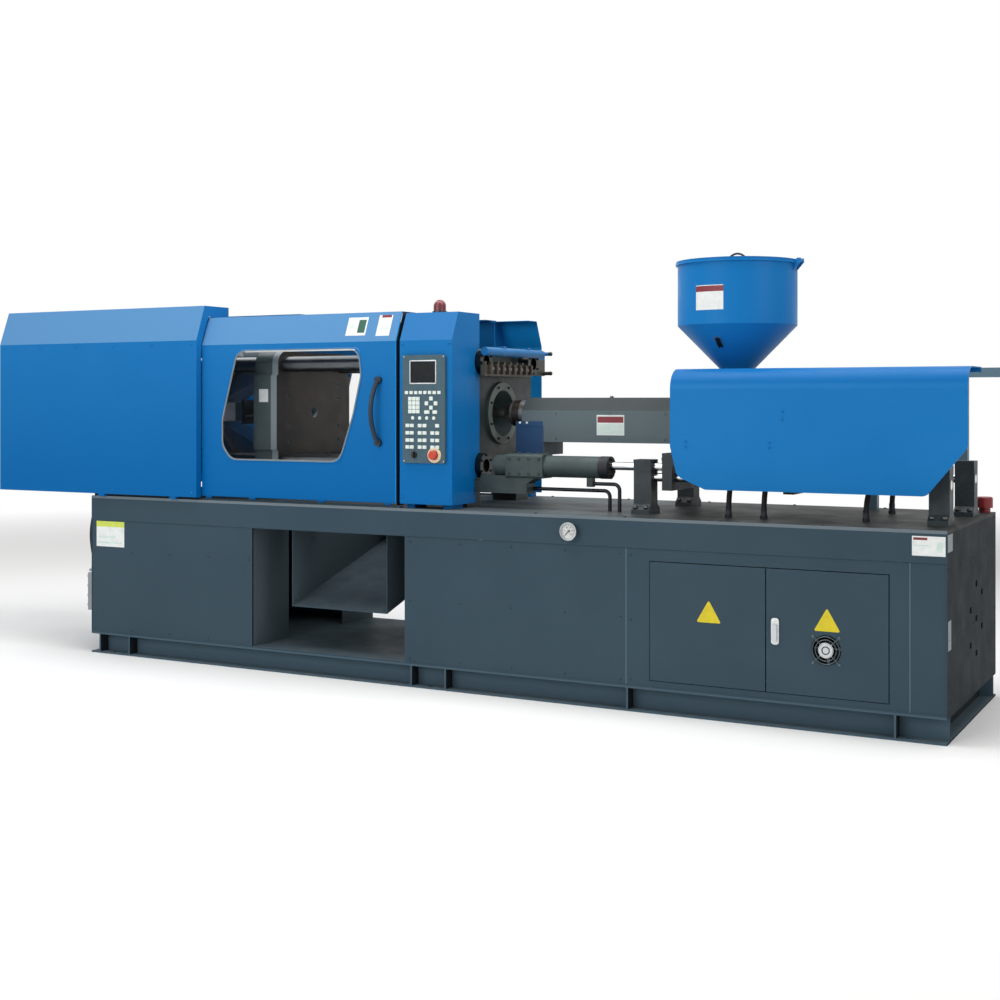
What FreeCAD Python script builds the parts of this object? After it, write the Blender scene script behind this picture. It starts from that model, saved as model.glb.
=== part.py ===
import FreeCAD, Part
import math
import os

# Horizontal injection moulding machine with a double toggle clamp.
# Origin on the floor at the centre of the base. +X towards the injection end,
# -Y towards the operator, +Z up. Millimetres.

# ---- driving dimensions: base ----
base_length = 4152.0
base_width = 1024.0
plinth_height = 102.0
plinth_flange = 8.0
plinth_recess = 55.0
plinth_bar = 63.0
floor_sheet = 6.0
beam_bottom = 659.0
deck_top = 780.0
deck_thickness = 12.0
beam_width = 60.0
beam_wall = 6.0
post_side = 60.0
panel_sheet = 3.0
panel_inset = 2.0
chute_bay_left = -1076.0
chute_bay_right = -239.5
bay_wall_depth = 283.0
cabinet_left = 814.0
anchor_hole_radius = 13.0
anchor_from_end = 136.0
anchor_edge = 30.0
middle_anchor_x = -119.0
rib_sheet = 8.0
rib_stations = (-2020.0, -1830.0, -205.0, -33.0, 818.6, 1889.6)
drop_opening_half_width = 220.0
end_slot_width = 40.0
end_slot_height = 26.0
end_slot_first = (-68.0, 512.0)
end_slot_pitch = (119.0, 46.0)
end_slot_order = (1, 2, 0, 1, 2, 0, 1)
mounting_plate_depth = 300.0

# ---- driving dimensions: parts chute ----
chute_left = -891.0
chute_right = -369.0
chute_front = 62.0
chute_lip = 300.0
chute_back_z = 560.0
chute_back = 400.0
chute_sheet = 4.0
chute_hanger = 30.0

# ---- driving dimensions: clamp ----
axis_z = 1195.0
tie_bar_radius = 37.5
tie_bar_pitch = 465.0
tie_nut_radius = 56.0
tie_nut_length = 52.0
tie_bar_stub = 34.0
running_clearance = 0.06
seat_gap = 0.3
platen_side = 590.0
platen_corner = 60.0
platen_pad_height = 360.0
platen_pad = 12.0
stationary_face = -185.0
stationary_thickness = 150.0
moving_face = -1088.0
moving_thickness = 137.0
tail_thickness = 150.0
locating_radius = 62.5
locating_depth = 30.0
nozzle_recess_radius = 105.0
nozzle_ring_radius = 143.0
nozzle_ring_height = 12.0
mould_bolt_radius = 8.5
mould_bolt_depth = 40.0
ejector_hole_radius = 25.0

# ---- driving dimensions: toggle, seen from the operator side ----
tail_pin_height = 270.0
platen_pin_height = 225.0
rear_link_length = 225.0
front_link_length = 330.0
rear_link_open_angle = 126.0
ear_along = 150.0
ear_across = 60.0
crosshead_pin_height = 95.0
crosshead_link_length = 110.0
toggle_pin_radius = 28.0
small_pin_radius = 17.0
knee_boss = 40.0
ear_boss = 28.0
crosshead_boss = 25.0
tail_lug_length = 270.0
platen_lug_length = 110.0
middle_layer = 85.0
link_plate = 40.0
link_gap = 2.0
small_link_plate = 24.0

# ---- driving dimensions: guards ----
guard_sheet = 2.5
cover_left = -2692.0
cover_right = -1390.6
cover_bottom = 793.0
cover_front = 532.0
cover_shoulder = 1539.0
cover_top = 1707.0
cover_slope = 60.0
cover_flange = 180.0
cover_stay_length = 40.0
cover_stay_insets = (60.0, 169.4)
cover_door_gap = 5.0
door_left = -1390.0
door_right = -296.0
door_bottom = 799.0
door_front = 492.0
door_shoulder = 1517.0
door_top = 1650.0
door_slope = 55.0
door_flange = 110.0
door_edge_depth = 26.0
window_margin = 16.0
window_glass = 4.0
window_corner = 28.0
housing_left = -276.0
housing_right = -10.0
housing_top = 1641.0
housing_return = 244.0
closing_strip = 17.0
panel_left = -253.0
panel_right = -38.0
panel_bottom = 980.0
panel_top = 1452.0
panel_proud = 14.0

# ---- driving dimensions: injection unit ----
cylinder_y = 250.0
carriage_cylinder_z = 967.0
carriage_cylinder_radius = 47.0
carriage_cylinder_left = 84.0
carriage_cylinder_right = 633.0
cylinder_head_left = 150.0
cylinder_head_length = 181.0
cylinder_head_half = 52.0
saddle_bottom = 846.0
saddle_half_width = 40.0
saddle_reach = 248.0
port_from_cap = 51.0
port_half = 14.0
carriage_rod_radius = 17.0
carriage_rod_z = 975.0
guide_rod_radius = 18.0
guide_rod_z = 932.0
front_support_left = 752.0
support_length = 78.0
rear_support_left = 1964.0
support_top = 1006.0
support_width = 96.0
front_plate_left = 884.0
rear_plate_left = 1400.0
carriage_plate = 44.0
carriage_half_width = 300.0
shoulder_over_rod = 103.0
carriage_bottom = 880.0
side_beam_height = 50.0
barrel_radius = 60.0
screw_radius = 22.5
nozzle_tip = -150.0
nozzle_radius = 24.0
melt_channel_radius = 5.0
barrel_cover_left = 128.0
barrel_cover_right = 860.0
barrel_cover_half_width = 104.0
barrel_cover_bottom = 1068.0
barrel_cover_shoulder = 1209.0
barrel_cover_top = 1266.0
barrel_cover_notch_length = 110.0
barrel_cover_notch_height = 70.0
purge_guard_left = 97.0
purge_guard_drop = 60.0
purge_guard_overlap = 22.0
heater_pitch = 160.0
injection_cover_left = 951.0
injection_cover_right = 2126.0
injection_cover_front = 380.0
injection_cover_bottom = 894.0
injection_cover_top = 1383.0
injection_cover_bend = 84.0
injection_cover_flange = 270.0
injection_cover_lip = 20.0
injection_cover_corner = 34.0
injection_cover_low_left = [(0.0, 172.0), (30.0, 52.0), (150.0, 0.0)]
injection_cover_low_right = [(152.0, 0.0), (0.0, 186.0)]
cover_bracket_stations = (1000.0, 1350.0)
cover_bracket = 40.0
cover_bracket_rise = 65.0
hopper_from_front_plate = 179.0
hopper_rim_radius = 260.5
hopper_radius = 251.5
hopper_sheet = 2.0
hopper_neck_radius = 80.0
hopper_neck_top = 1400.0
hopper_shoulder = 1570.0
hopper_top = 1836.0
injection_cylinder_length = 256.0
tray_wall = 4.0
tray_left = 1500.0
tray_overhang = 34.0
tray_from_axis = 392.0
tray_width = 60.0
tray_height = 40.0
tray_lift = 8.0

# ---- driving dimensions: electrical doors, fan and lock ----
door_gap = 3.0
doors_from_cabinet_left = 104.0
doors_from_base_end = 210.0
left_door_width = 477.0
between_doors = 4.0
electrical_door_bottom = 134.0
electrical_door_top = 608.0
electrical_door_sheet = 2.5
electrical_door_return = 18.0
pivot_inset = 24.0
pivot_depth = 10.0
pivot_radius = 4.0
fan_z = 311.5
fan_radius = 57.0
fan_frame_side = 119.0
lock_from_door_edge = 36.0
lock_z = 373.0
lock_stem = 7.0

# ---- driving dimensions: pump, gauge and pipes ----
motor_x = 1300.0
motor_y = 190.0
motor_z = 330.0
motor_radius = 125.0
motor_half_length = 190.0
gauge_x = 568.0
gauge_z = 716.0
gauge_radius = 37.5
pipe_radius = 8.0
pipe_bend = 26.0

# ---- driving dimensions: valve block behind the fixed platen, heights above the centre line ----
valve_block_half = 168.0
valve_block_bottom = 168.0
valve_block_top = 217.0
valve_block_depth = 76.0
valve_fin_height = 16.0
valve_fin_pitch = 60.0
gallery_height = 277.0
gallery_radius = 19.0
gallery_ends = (-290.0, 272.0)
gallery_saddles = (-120.0, 120.0)
valve_rail_end = 290.0
valve_rail_depth = 22.0
limit_plate_span = (292.0, 408.0)
limit_plate_heights = (177.0, 295.0)
limit_plate_sheet = 24.0
limit_pin_heights = (189.0, 283.0)
limit_pin_length = 32.0

# ---- driving dimensions: clamp and ejector cylinders ----
rod_guide_radius = 34.0
clamp_rod_radius = 30.0
clamp_cylinder_radius = 80.0
clamp_cylinder_length = 480.0
clamp_flange_side = 190.0
mould_bolt_rows = ((70.0, 210.0), (140.0, 210.0), (210.0, 70.0), (210.0, 140.0))
ejector_rod_radius = 16.0
ejector_travel = 120.0
ejector_post_radius = 13.0
ejector_post_length = 215.0

# ---- driving dimensions: door rollers, handle and keypad ----
roller_radius = 8.0
rail_height = 7.0
roller_stations = (-1350.0, -1092.0, -700.0, -340.0)
lamp_x = -160.0
handle_x = -386.0
handle_bottom = 1049.0
handle_top = 1360.0
handle_reach = 42.0
stop_x = -90.0
stop_z = 1016.0
stop_stem = 10.0
stop_head = 20.0
stop_stroke = 5.0
knob_x = -192.0
knob_stem = 5.0

# ---- driving dimensions: barrel, drive and hopper lid ----
feed_block_half = 95.0
injection_rod_radius = 28.0
drive_gap = 6.0
hopper_handle_rise = 42.0
lid_hinge_reach = 14.0

# ---- hoses: centre line points (x, y, z) ----
hose_radius = 11.0
left_hose_bow = [(36, -435, 806), (36, -435, 752), (48, -438, 696), (60, -443, 636),
                 (61, -449, 574), (49, -454, 516), (36, -455, 466), (36, -455, 418)]
carriage_hose_stations = (1168.0, 1316.0)
hose_side_step = 9.0
port_hose_bow = [(25, -215, 792), (25, -215, 844), (35, -211, 893), (37, -206, 940),
                 (28, -200, 986), (13, -194, 1030), (0, -190, 1072), (0, -190, 1117)]
injection_port_inset = 16.0
injection_cylinder_y = 190.0
injection_cylinder_radius = 58.0
injection_cap_radius = 66.0
injection_cap_length = 40.0
drive_plate_half_width = 262.0
drive_plate_half_height = 76.0
drive_plate_sheet = 44.0
screw_motor_radius = 68.0
screw_motor_length = 130.0
thrust_radius = 75.0
thrust_length = 120.0
port_gland_radius = 15.0
gland_height = 12.0

tie_bar_offset = tie_bar_pitch / 2
half_length = base_length / 2
half_width = base_width / 2
platen_half = platen_side / 2
beam_top = deck_top - deck_thickness
floor_top = plinth_height + floor_sheet
doors_left = cabinet_left + doors_from_cabinet_left
left_door_span = (doors_left, doors_left + left_door_width)
right_door_span = (left_door_span[1] + between_doors, half_length - doors_from_base_end)
fan_x = (right_door_span[0] + right_door_span[1]) / 2
lock_x = right_door_span[0] + lock_from_door_edge
anchor_pitch_x = base_length - 2 * anchor_from_end
left_hose_route = [(-half_length - out, y, z) for out, y, z in left_hose_bow]
carriage_shoulder = guide_rod_z + shoulder_over_rod
beam_underside = carriage_shoulder - side_beam_height
hopper_x = front_plate_left + carriage_plate + hopper_from_front_plate
lid_hinge_x = hopper_x + hopper_rim_radius + lid_hinge_reach
cylinder_head_right = cylinder_head_left + cylinder_head_length
injection_cylinder_left = rear_plate_left + carriage_plate
injection_cylinder_right = injection_cylinder_left + injection_cylinder_length
drive_plate_left = injection_cylinder_right + drive_gap
injection_port_x = injection_cylinder_right - injection_port_inset


def vec(x, y, z):
    return FreeCAD.Vector(x, y, z)


def box(x0, x1, y0, y1, z0, z1):
    return Part.makeBox(x1 - x0, y1 - y0, z1 - z0, vec(x0, y0, z0))


def rod_x(radius, x0, x1, y, z):
    return Part.makeCylinder(radius, x1 - x0, vec(x0, y, z), vec(1, 0, 0))


def rod_y(radius, y0, y1, x, z):
    return Part.makeCylinder(radius, y1 - y0, vec(x, y0, z), vec(0, 1, 0))


def rod_z(radius, z0, z1, x, y):
    return Part.makeCylinder(radius, z1 - z0, vec(x, y, z0), vec(0, 0, 1))


def face_of(points):
    return Part.Face(Part.makePolygon(points + [points[0]]))


def plate_x(outline, x0, x1):
    """Outline in (y, z), pushed from x0 to x1."""
    return face_of([vec(x0, y, z) for y, z in outline]).extrude(vec(x1 - x0, 0, 0))


def plate_y(outline, y0, y1):
    """Outline in (x, z), pushed from y0 to y1."""
    return face_of([vec(x, y0, z) for x, z in outline]).extrude(vec(0, y1 - y0, 0))


def plate_z(outline, z0, z1):
    """Outline in (x, y), pushed from z0 to z1."""
    return face_of([vec(x, y, z0) for x, y in outline]).extrude(vec(0, 0, z1 - z0))


def fuse(shapes):
    whole = shapes[0]
    for shape in shapes[1:]:
        whole = whole.fuse(shape)
    return whole.removeSplitter()


def group(shapes):
    return Part.makeCompound(shapes)


def mirror_y(shape):
    return shape.mirror(vec(0, 0, 0), vec(0, 1, 0))


def both_sides(shape):
    return [shape, mirror_y(shape)]


def rounded(points, radius):
    """A closed wire in the XZ plane at y = 0 with each corner rounded."""
    count = len(points)
    starts, ends, middles = [], [], []
    for index in range(count):
        corner = vec(points[index][0], 0, points[index][1])
        before = vec(points[index - 1][0], 0, points[index - 1][1])
        after = vec(points[(index + 1) % count][0], 0, points[(index + 1) % count][1])
        back = (before - corner).normalize()
        ahead = (after - corner).normalize()
        half_angle = back.getAngle(ahead) / 2
        reach = radius / math.tan(half_angle)
        bisector = (back + ahead).normalize()
        centre = corner + bisector * (radius / math.sin(half_angle))
        starts.append(corner + back * reach)
        ends.append(corner + ahead * reach)
        middles.append(centre - bisector * radius)
    edges = []
    for index in range(count):
        edges.append(Part.Arc(starts[index], middles[index], ends[index]).toShape())
        edges.append(Part.LineSegment(ends[index], starts[(index + 1) % count]).toShape())
    return Part.Wire(edges)


def folded(points, sheet):
    """Closed outline of a folded sheet: the line of its outer skin and its thickness inwards."""
    inner = []
    for index, (a, b) in enumerate(points):
        normals = []
        for first, second in ((index - 1, index), (index, index + 1)):
            if first < 0 or second >= len(points):
                continue
            da = points[second][0] - points[first][0]
            db = points[second][1] - points[first][1]
            size = math.hypot(da, db)
            normals.append((db / size, -da / size))
        na = sum(n[0] for n in normals)
        nb = sum(n[1] for n in normals)
        size = math.hypot(na, nb)
        na, nb = na / size, nb / size
        stretch = sheet / (na * normals[0][0] + nb * normals[0][1])
        inner.append((a + na * stretch, b + nb * stretch))
    return points + inner[::-1]


def link_outline(start, end, radius_start, radius_end):
    """The four points where the straight flanks of a link touch its two round ends."""
    ax, az = start
    bx, bz = end
    length = math.hypot(bx - ax, bz - az)
    along = math.atan2(bz - az, bx - ax)
    lean = math.acos((radius_start - radius_end) / length)
    corners = []
    for centre, radius, turn in ((start, radius_start, along + lean), (end, radius_end, along + lean),
                                 (end, radius_end, along - lean), (start, radius_start, along - lean)):
        corners.append((centre[0] + radius * math.cos(turn), centre[1] + radius * math.sin(turn)))
    return corners


def link(start, end, radius_start, radius_end, y0, y1):
    body = plate_y(link_outline(start, end, radius_start, radius_end), y0, y1)
    body = body.fuse(rod_y(radius_start, y0, y1, start[0], start[1]))
    return body.fuse(rod_y(radius_end, y0, y1, end[0], end[1])).removeSplitter()


def tie_bar_places():
    for y in (-tie_bar_offset, tie_bar_offset):
        for z in (axis_z - tie_bar_offset, axis_z + tie_bar_offset):
            yield y, z


def platen(x0, x1):
    """A square platen with rounded corners, side pads and four tie bar bores."""
    body = box(x0, x1, -platen_half, platen_half, axis_z - platen_half, axis_z + platen_half)
    corners = [e for e in body.Edges if abs(e.Vertexes[0].Point.x - e.Vertexes[-1].Point.x) > 1]
    body = body.makeFillet(platen_corner, corners)
    side = platen_half + platen_pad
    pads = box(x0, x1, -side, side, axis_z - platen_pad_height / 2, axis_z + platen_pad_height / 2)
    return body.fuse(pads).removeSplitter()


def bored_platen(body, x0, x1, clearance):
    for y, z in tie_bar_places():
        body = body.cut(rod_x(tie_bar_radius + clearance, x0 - 1, x1 + 1, y, z))
    return body


# ---- toggle geometry, worked out once ----
def toggle_points():
    """Pin places in (x, height above the centre line) for the open clamp, and its travels."""
    fold = math.radians(rear_link_open_angle)
    knee = (rear_link_length * math.cos(fold), tail_pin_height - rear_link_length * math.sin(fold))
    rise = platen_pin_height - knee[1]
    open_reach = knee[0] + math.sqrt(front_link_length ** 2 - rise ** 2)
    straight = rear_link_length + front_link_length
    drop = tail_pin_height - platen_pin_height
    closed_fold = math.asin(drop / straight)
    closed_reach = straight * math.cos(closed_fold)

    def ear_at(angle):
        along = (math.cos(angle), -math.sin(angle))
        across = (-math.sin(angle), -math.cos(angle))
        x = ear_along * along[0] + ear_across * across[0]
        return x, tail_pin_height + ear_along * along[1] + ear_across * across[1]

    def crosshead_at(ear):
        return ear[0] - math.sqrt(crosshead_link_length ** 2 - (ear[1] - crosshead_pin_height) ** 2)

    open_ear, closed_ear = ear_at(fold), ear_at(closed_fold)
    tail_pin_x = moving_face - moving_thickness - platen_lug_length - open_reach
    values = {
        "tail_pin": (tail_pin_x, tail_pin_height),
        "knee": (tail_pin_x + knee[0], knee[1]),
        "platen_pin": (tail_pin_x + open_reach, platen_pin_height),
        "ear": (tail_pin_x + open_ear[0], open_ear[1]),
        "crosshead_pin": (tail_pin_x + crosshead_at(open_ear), crosshead_pin_height),
        "stroke": closed_reach - open_reach,
        "rear_turn": fold - closed_fold,
        "front_turn": math.atan2(rise, open_reach - knee[0]) + closed_fold,
        "crosshead_stroke": crosshead_at(closed_ear) - crosshead_at(open_ear),
    }
    open_lean = math.asin((open_ear[1] - crosshead_pin_height) / crosshead_link_length)
    closed_lean = math.asin((closed_ear[1] - crosshead_pin_height) / crosshead_link_length)
    values["crosshead_turn"] = closed_lean - open_lean
    return values


toggle = toggle_points()
tail_face = toggle["tail_pin"][0] - tail_lug_length
tail_back = tail_face - tail_thickness
moving_back = moving_face - moving_thickness
stationary_back = stationary_face + stationary_thickness
rear_layer = middle_layer + link_gap
rear_layer_end = rear_layer + link_plate
small_layer = rear_layer_end + link_gap
small_layer_end = small_layer + small_link_plate


def base_plinth():
    """Outward channels round the foot, with ribs at the levelling pockets, and the floor sheet."""
    def channel(x0, x1):
        bar = box(x0, x1, -half_width, -half_width + plinth_bar, 0, plinth_height)
        groove = box(x0 - 1, x1 + 1, -half_width - 1, -half_width + plinth_recess,
                     plinth_flange, plinth_height - plinth_flange)
        bar = bar.cut(groove)
        for station in rib_stations:
            if x0 < station < x1:
                rib = box(station - rib_sheet / 2, station + rib_sheet / 2, -half_width,
                          -half_width + plinth_recess, plinth_flange, plinth_height - plinth_flange)
                bar = bar.fuse(rib)
        for x in (-anchor_pitch_x / 2, anchor_pitch_x / 2, middle_anchor_x):
            hole = rod_z(anchor_hole_radius, -1, plinth_flange + 1, x, -half_width + anchor_edge)
            bar = bar.cut(hole)
        return bar.removeSplitter()

    long_bar = channel(-half_length, half_length)
    inner = half_width - plinth_bar
    end_bar = box(half_length - plinth_bar, half_length, -inner, inner, 0, plinth_height)
    end_bar = end_bar.cut(box(half_length - plinth_recess, half_length + 1, -inner - 1, inner + 1,
                              plinth_flange, plinth_height - plinth_flange))
    other_end = end_bar.mirror(vec(0, 0, 0), vec(1, 0, 0))
    floor = box(-half_length, half_length, -half_width, half_width, plinth_height, floor_top)
    return both_sides(long_bar) + [end_bar, other_end, floor]


def post_stations():
    return (-half_length + panel_sheet, chute_bay_left - panel_sheet - post_side,
            chute_bay_right + panel_sheet, cabinet_left - post_side,
            half_length - panel_sheet - post_side)


def base_frame():
    """Hollow side beams, cross beams and posts, welded end to end."""
    outside = half_width - panel_inset - panel_sheet
    left, right = -half_length + panel_sheet, half_length - panel_sheet
    beam = box(left, right, -half_width, -half_width + beam_width, beam_bottom, beam_top)
    bore = box(left - 1, right + 1, -half_width + beam_wall, -half_width + beam_width - beam_wall,
               beam_bottom + beam_wall, beam_top - beam_wall)
    beams = both_sides(beam.cut(bore))
    inner = half_width - beam_width
    crossings = [box(x, x + post_side, -inner, inner, beam_bottom, beam_top) for x in post_stations()]
    posts = []
    for x in post_stations():
        post = box(x, x + post_side, -outside, -outside + post_side, floor_top, beam_bottom)
        posts += both_sides(post)
    return beams + crossings + posts


def deck_plate():
    """The top plate, open over the chute."""
    plate = box(-half_length, half_length, -half_width, half_width, beam_top, deck_top)
    opening = box(chute_bay_left + 30, stationary_face - 90, -drop_opening_half_width,
                  drop_opening_half_width, beam_top - 1, deck_top + 1)
    return plate.cut(opening)


def base_panels():
    """Sheets that close the base: bays left and right of the chute, and both ends."""
    outer = half_width - panel_inset
    top = beam_bottom - 1
    left_front = plate_z(folded([(-half_length + panel_sheet, -outer), (chute_bay_left, -outer),
                                 (chute_bay_left, -outer + bay_wall_depth)][::-1], panel_sheet),
                         floor_top, top)
    middle_front = plate_z(folded([(chute_bay_right, -outer + bay_wall_depth),
                                   (chute_bay_right, -outer), (cabinet_left, -outer)][::-1],
                                  panel_sheet), floor_top, top)
    back = box(cabinet_left, half_length - panel_sheet, outer - panel_sheet, outer, floor_top, top)
    for row in range(8):
        for column in range(5):
            x = cabinet_left + 200 + column * 170
            z = floor_top + 90 + row * 44
            back = back.cut(box(x, x + 120, outer - panel_sheet - 1, outer + 1, z, z + 10))
    end_top = beam_top
    right_end = box(half_length - panel_sheet, half_length, -half_width, half_width, floor_top, end_top)
    for row, column in enumerate(end_slot_order):
        y = end_slot_first[0] + column * end_slot_pitch[0]
        z = end_slot_first[1] - row * end_slot_pitch[1]
        right_end = right_end.cut(box(half_length - panel_sheet - 1, half_length + 1,
                                      y, y + end_slot_width, z, z + end_slot_height))
    left_end = box(-half_length, -half_length + panel_sheet, -half_width, half_width, floor_top, end_top)
    return group(both_sides(left_front) + both_sides(middle_front) + [back, right_end, left_end])


def door_pivot(span, hinge_on_left):
    return (span[0] + pivot_inset if hinge_on_left else span[1] - pivot_inset,
            -half_width + panel_inset + pivot_depth)


def cabinet_surround():
    """The front frame of the electrical cabinet, with its doorway and the door pivots."""
    outer = half_width - panel_inset
    frame = box(cabinet_left, half_length - panel_sheet, -outer, -outer + panel_sheet,
                floor_top, beam_bottom - 1)
    low, high = electrical_door_bottom - door_gap, electrical_door_top + door_gap
    opening = box(left_door_span[0] - door_gap, right_door_span[1] + door_gap, -outer - 1,
                  -outer + panel_sheet + 1, low, high)
    pieces = [frame.cut(opening)]
    for span, hinge_on_left in ((left_door_span, True), (right_door_span, False)):
        x, y = door_pivot(span, hinge_on_left)
        for z, way in ((low, -1), (high, 1)):
            z0, z1 = sorted((z, z + way * 6))
            pieces.append(box(x - 10, x + 10, -outer + panel_sheet, y + 10, z0, z1))
            z0, z1 = sorted((z + way * 3, z - way * 11))
            pieces.append(rod_z(pivot_radius, z0, z1, x, y))
    return fuse(pieces)


def electrical_door(span, hinge_on_left):
    """A pressed door with a return round its edge, bored for its two pivots."""
    outer = half_width - panel_inset
    x0, x1 = span
    bottom, top = electrical_door_bottom, electrical_door_top
    skin = box(x0, x1, -outer - electrical_door_sheet, -outer, bottom, top)
    rim = box(x0 + 4, x1 - 4, -outer, -outer + electrical_door_return, bottom + 4, top - 4)
    hollow = box(x0 + 7, x1 - 7, -outer - 1, -outer + electrical_door_return + 1, bottom + 7, top - 7)
    door = skin.fuse(rim.cut(hollow)).removeSplitter()
    x, y = door_pivot(span, hinge_on_left)
    return door.cut(rod_z(pivot_radius + running_clearance, bottom - 1, bottom + 12, x, y)).cut(
        rod_z(pivot_radius + running_clearance, top - 12, top + 1, x, y))


def left_cabinet_door():
    return electrical_door(left_door_span, True)


def right_cabinet_door():
    """The door with the fan opening and the lock's raised plate."""
    outer = half_width - panel_inset
    door = electrical_door(right_door_span, False)
    door = door.cut(rod_y(fan_radius, -outer - 5, -outer + 5, fan_x, fan_z))
    skin = outer + electrical_door_sheet
    door = door.fuse(box(lock_x - 17, lock_x + 17, -skin - 3, -skin, lock_z - 48, lock_z + 48))
    return door.cut(rod_y(lock_stem + running_clearance, -outer - 9, -outer + 5, lock_x, lock_z))


def door_lock():
    """Handle on its spindle, with the tongue that turns behind the other door."""
    outer = half_width - panel_inset + electrical_door_sheet + 3
    handle = box(lock_x - 9, lock_x + 9, -outer - 11, -outer - 1, lock_z - 42, lock_z + 24)
    spindle = rod_y(lock_stem, -outer - 1, -outer + 31, lock_x, lock_z)
    tongue = box(lock_x - 8, lock_x + 8, -outer + 27, -outer + 31, lock_z - 45, lock_z + 8)
    return fuse([handle, spindle, tongue])


def fan_guard():
    """Finger guard of concentric rings in front of the door, and the fan's square frame behind it."""
    skin = half_width - panel_inset + electrical_door_sheet
    rings = []
    for radius in (52.0, 40.0, 28.0):
        ring = Part.makeTorus(radius, 1.6, vec(fan_x, -skin - 5, fan_z), vec(0, 1, 0))
        rings.append(ring)
    spokes = []
    for turn in (45, 135):
        spoke = rod_x(1.5, fan_x - 72, fan_x + 72, -skin - 3.2, fan_z)
        spoke.rotate(vec(fan_x, 0, fan_z), vec(0, 1, 0), turn)
        spokes.append(spoke)
    hub = rod_y(26, -skin - 7, -skin - 4, fan_x, fan_z)
    guard = fuse(spokes + rings + [hub])
    feet = []
    for sx in (-1, 1):
        for sz in (-1, 1):
            feet.append(rod_y(5, -skin - 3.4, -skin, fan_x + sx * 50.5, fan_z + sz * 50.5))
    return fuse([guard] + feet)


def fan_motor_frame():
    inner = half_width - panel_inset
    half = fan_frame_side / 2
    body = box(fan_x - half, fan_x + half, -inner, -inner + 38, fan_z - half, fan_z + half)
    body = body.cut(rod_y(fan_radius, -inner - 1, -inner + 39, fan_x, fan_z))
    spider = box(fan_x - fan_radius - 2, fan_x + fan_radius + 2, -inner + 33, -inner + 37,
                 fan_z - 5, fan_z + 5)
    spider = spider.fuse(box(fan_x - 5, fan_x + 5, -inner + 33, -inner + 37,
                             fan_z - fan_radius - 2, fan_z + fan_radius + 2))
    stub = rod_y(5, -inner + 22, -inner + 35, fan_x, fan_z)
    return fuse([body, spider, stub])


def fan_rotor():
    """Seven pitched blades on a round hub."""
    inner = half_width - panel_inset
    hub = rod_y(22, -inner + 6, -inner + 30, fan_x, fan_z)
    blades = []
    for index in range(7):
        blade = box(-1.2, 1.2, -inner + 9, -inner + 27, 20, fan_radius - 3)
        blade.rotate(vec(0, -inner + 18, 0), vec(0, 0, 1), 32)
        blade.rotate(vec(0, 0, 0), vec(0, 1, 0), index * 360.0 / 7)
        blade.translate(vec(fan_x, 0, fan_z))
        blades.append(blade)
    rotor = fuse([hub] + blades)
    return rotor.cut(rod_y(5 + running_clearance, -inner + 21, -inner + 31, fan_x, fan_z))


def mounting_plate():
    """The plate at the back of the electrical cabinet, with rows of switchgear on rails."""
    y = -half_width + mounting_plate_depth
    plate = box(left_door_span[0] + 20, right_door_span[1] - 20, y, y + 3, floor_top, beam_bottom)
    pieces = [plate]
    for row, (z, depth) in enumerate(((520, 70), (380, 90), (240, 80))):
        pieces.append(box(left_door_span[0] + 50, right_door_span[1] - 50, y - 8, y, z - 17, z + 18))
        width = 45 + row * 18
        count = int((right_door_span[1] - left_door_span[0] - 140) / (width + 12))
        for index in range(count):
            x = left_door_span[0] + 70 + index * (width + 12)
            pieces.append(box(x, x + width, y - 8 - depth, y - 8, z - 42, z + 42))
    return fuse(pieces)


def discharge_chute():
    """A box chute open at the top and the front, its floor rising to the back."""
    y0 = -half_width + chute_front
    y1 = chute_back
    top = beam_bottom
    sides = [(y0, chute_lip), (y1, chute_back_z), (y1, top), (y0, top)]
    body = plate_x(sides, chute_left, chute_right)
    s = chute_sheet
    hollow = [(y0 - 1, chute_lip + s), (y1 - s, chute_back_z + s), (y1 - s, top + 1), (y0 - 1, top + 1)]
    body = body.cut(plate_x(hollow, chute_left + s, chute_right - s))
    front_lip = box(chute_left, chute_right, y0 - chute_hanger, y0, top - s, top)
    back_lip = box(chute_left, chute_right, y1, half_width - beam_width + chute_hanger, top - s, top)
    return fuse([body, front_lip, back_lip])


def oil_tank():
    """Welded oil tank under the middle of the deck with a filler neck through to its lid."""
    x0, x1 = chute_bay_right + 90, cabinet_left - 90
    y = half_width - 90
    body = box(x0, x1, -y, y, floor_top, beam_bottom - 60)
    body = body.makeFillet(20, [e for e in body.Edges if abs(e.Vertexes[0].Z - e.Vertexes[-1].Z) > 1])
    lid = box(x0 + 60, x1 - 60, -y + 60, y - 60, beam_bottom - 60, beam_bottom - 52)
    return fuse([body, lid])


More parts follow.
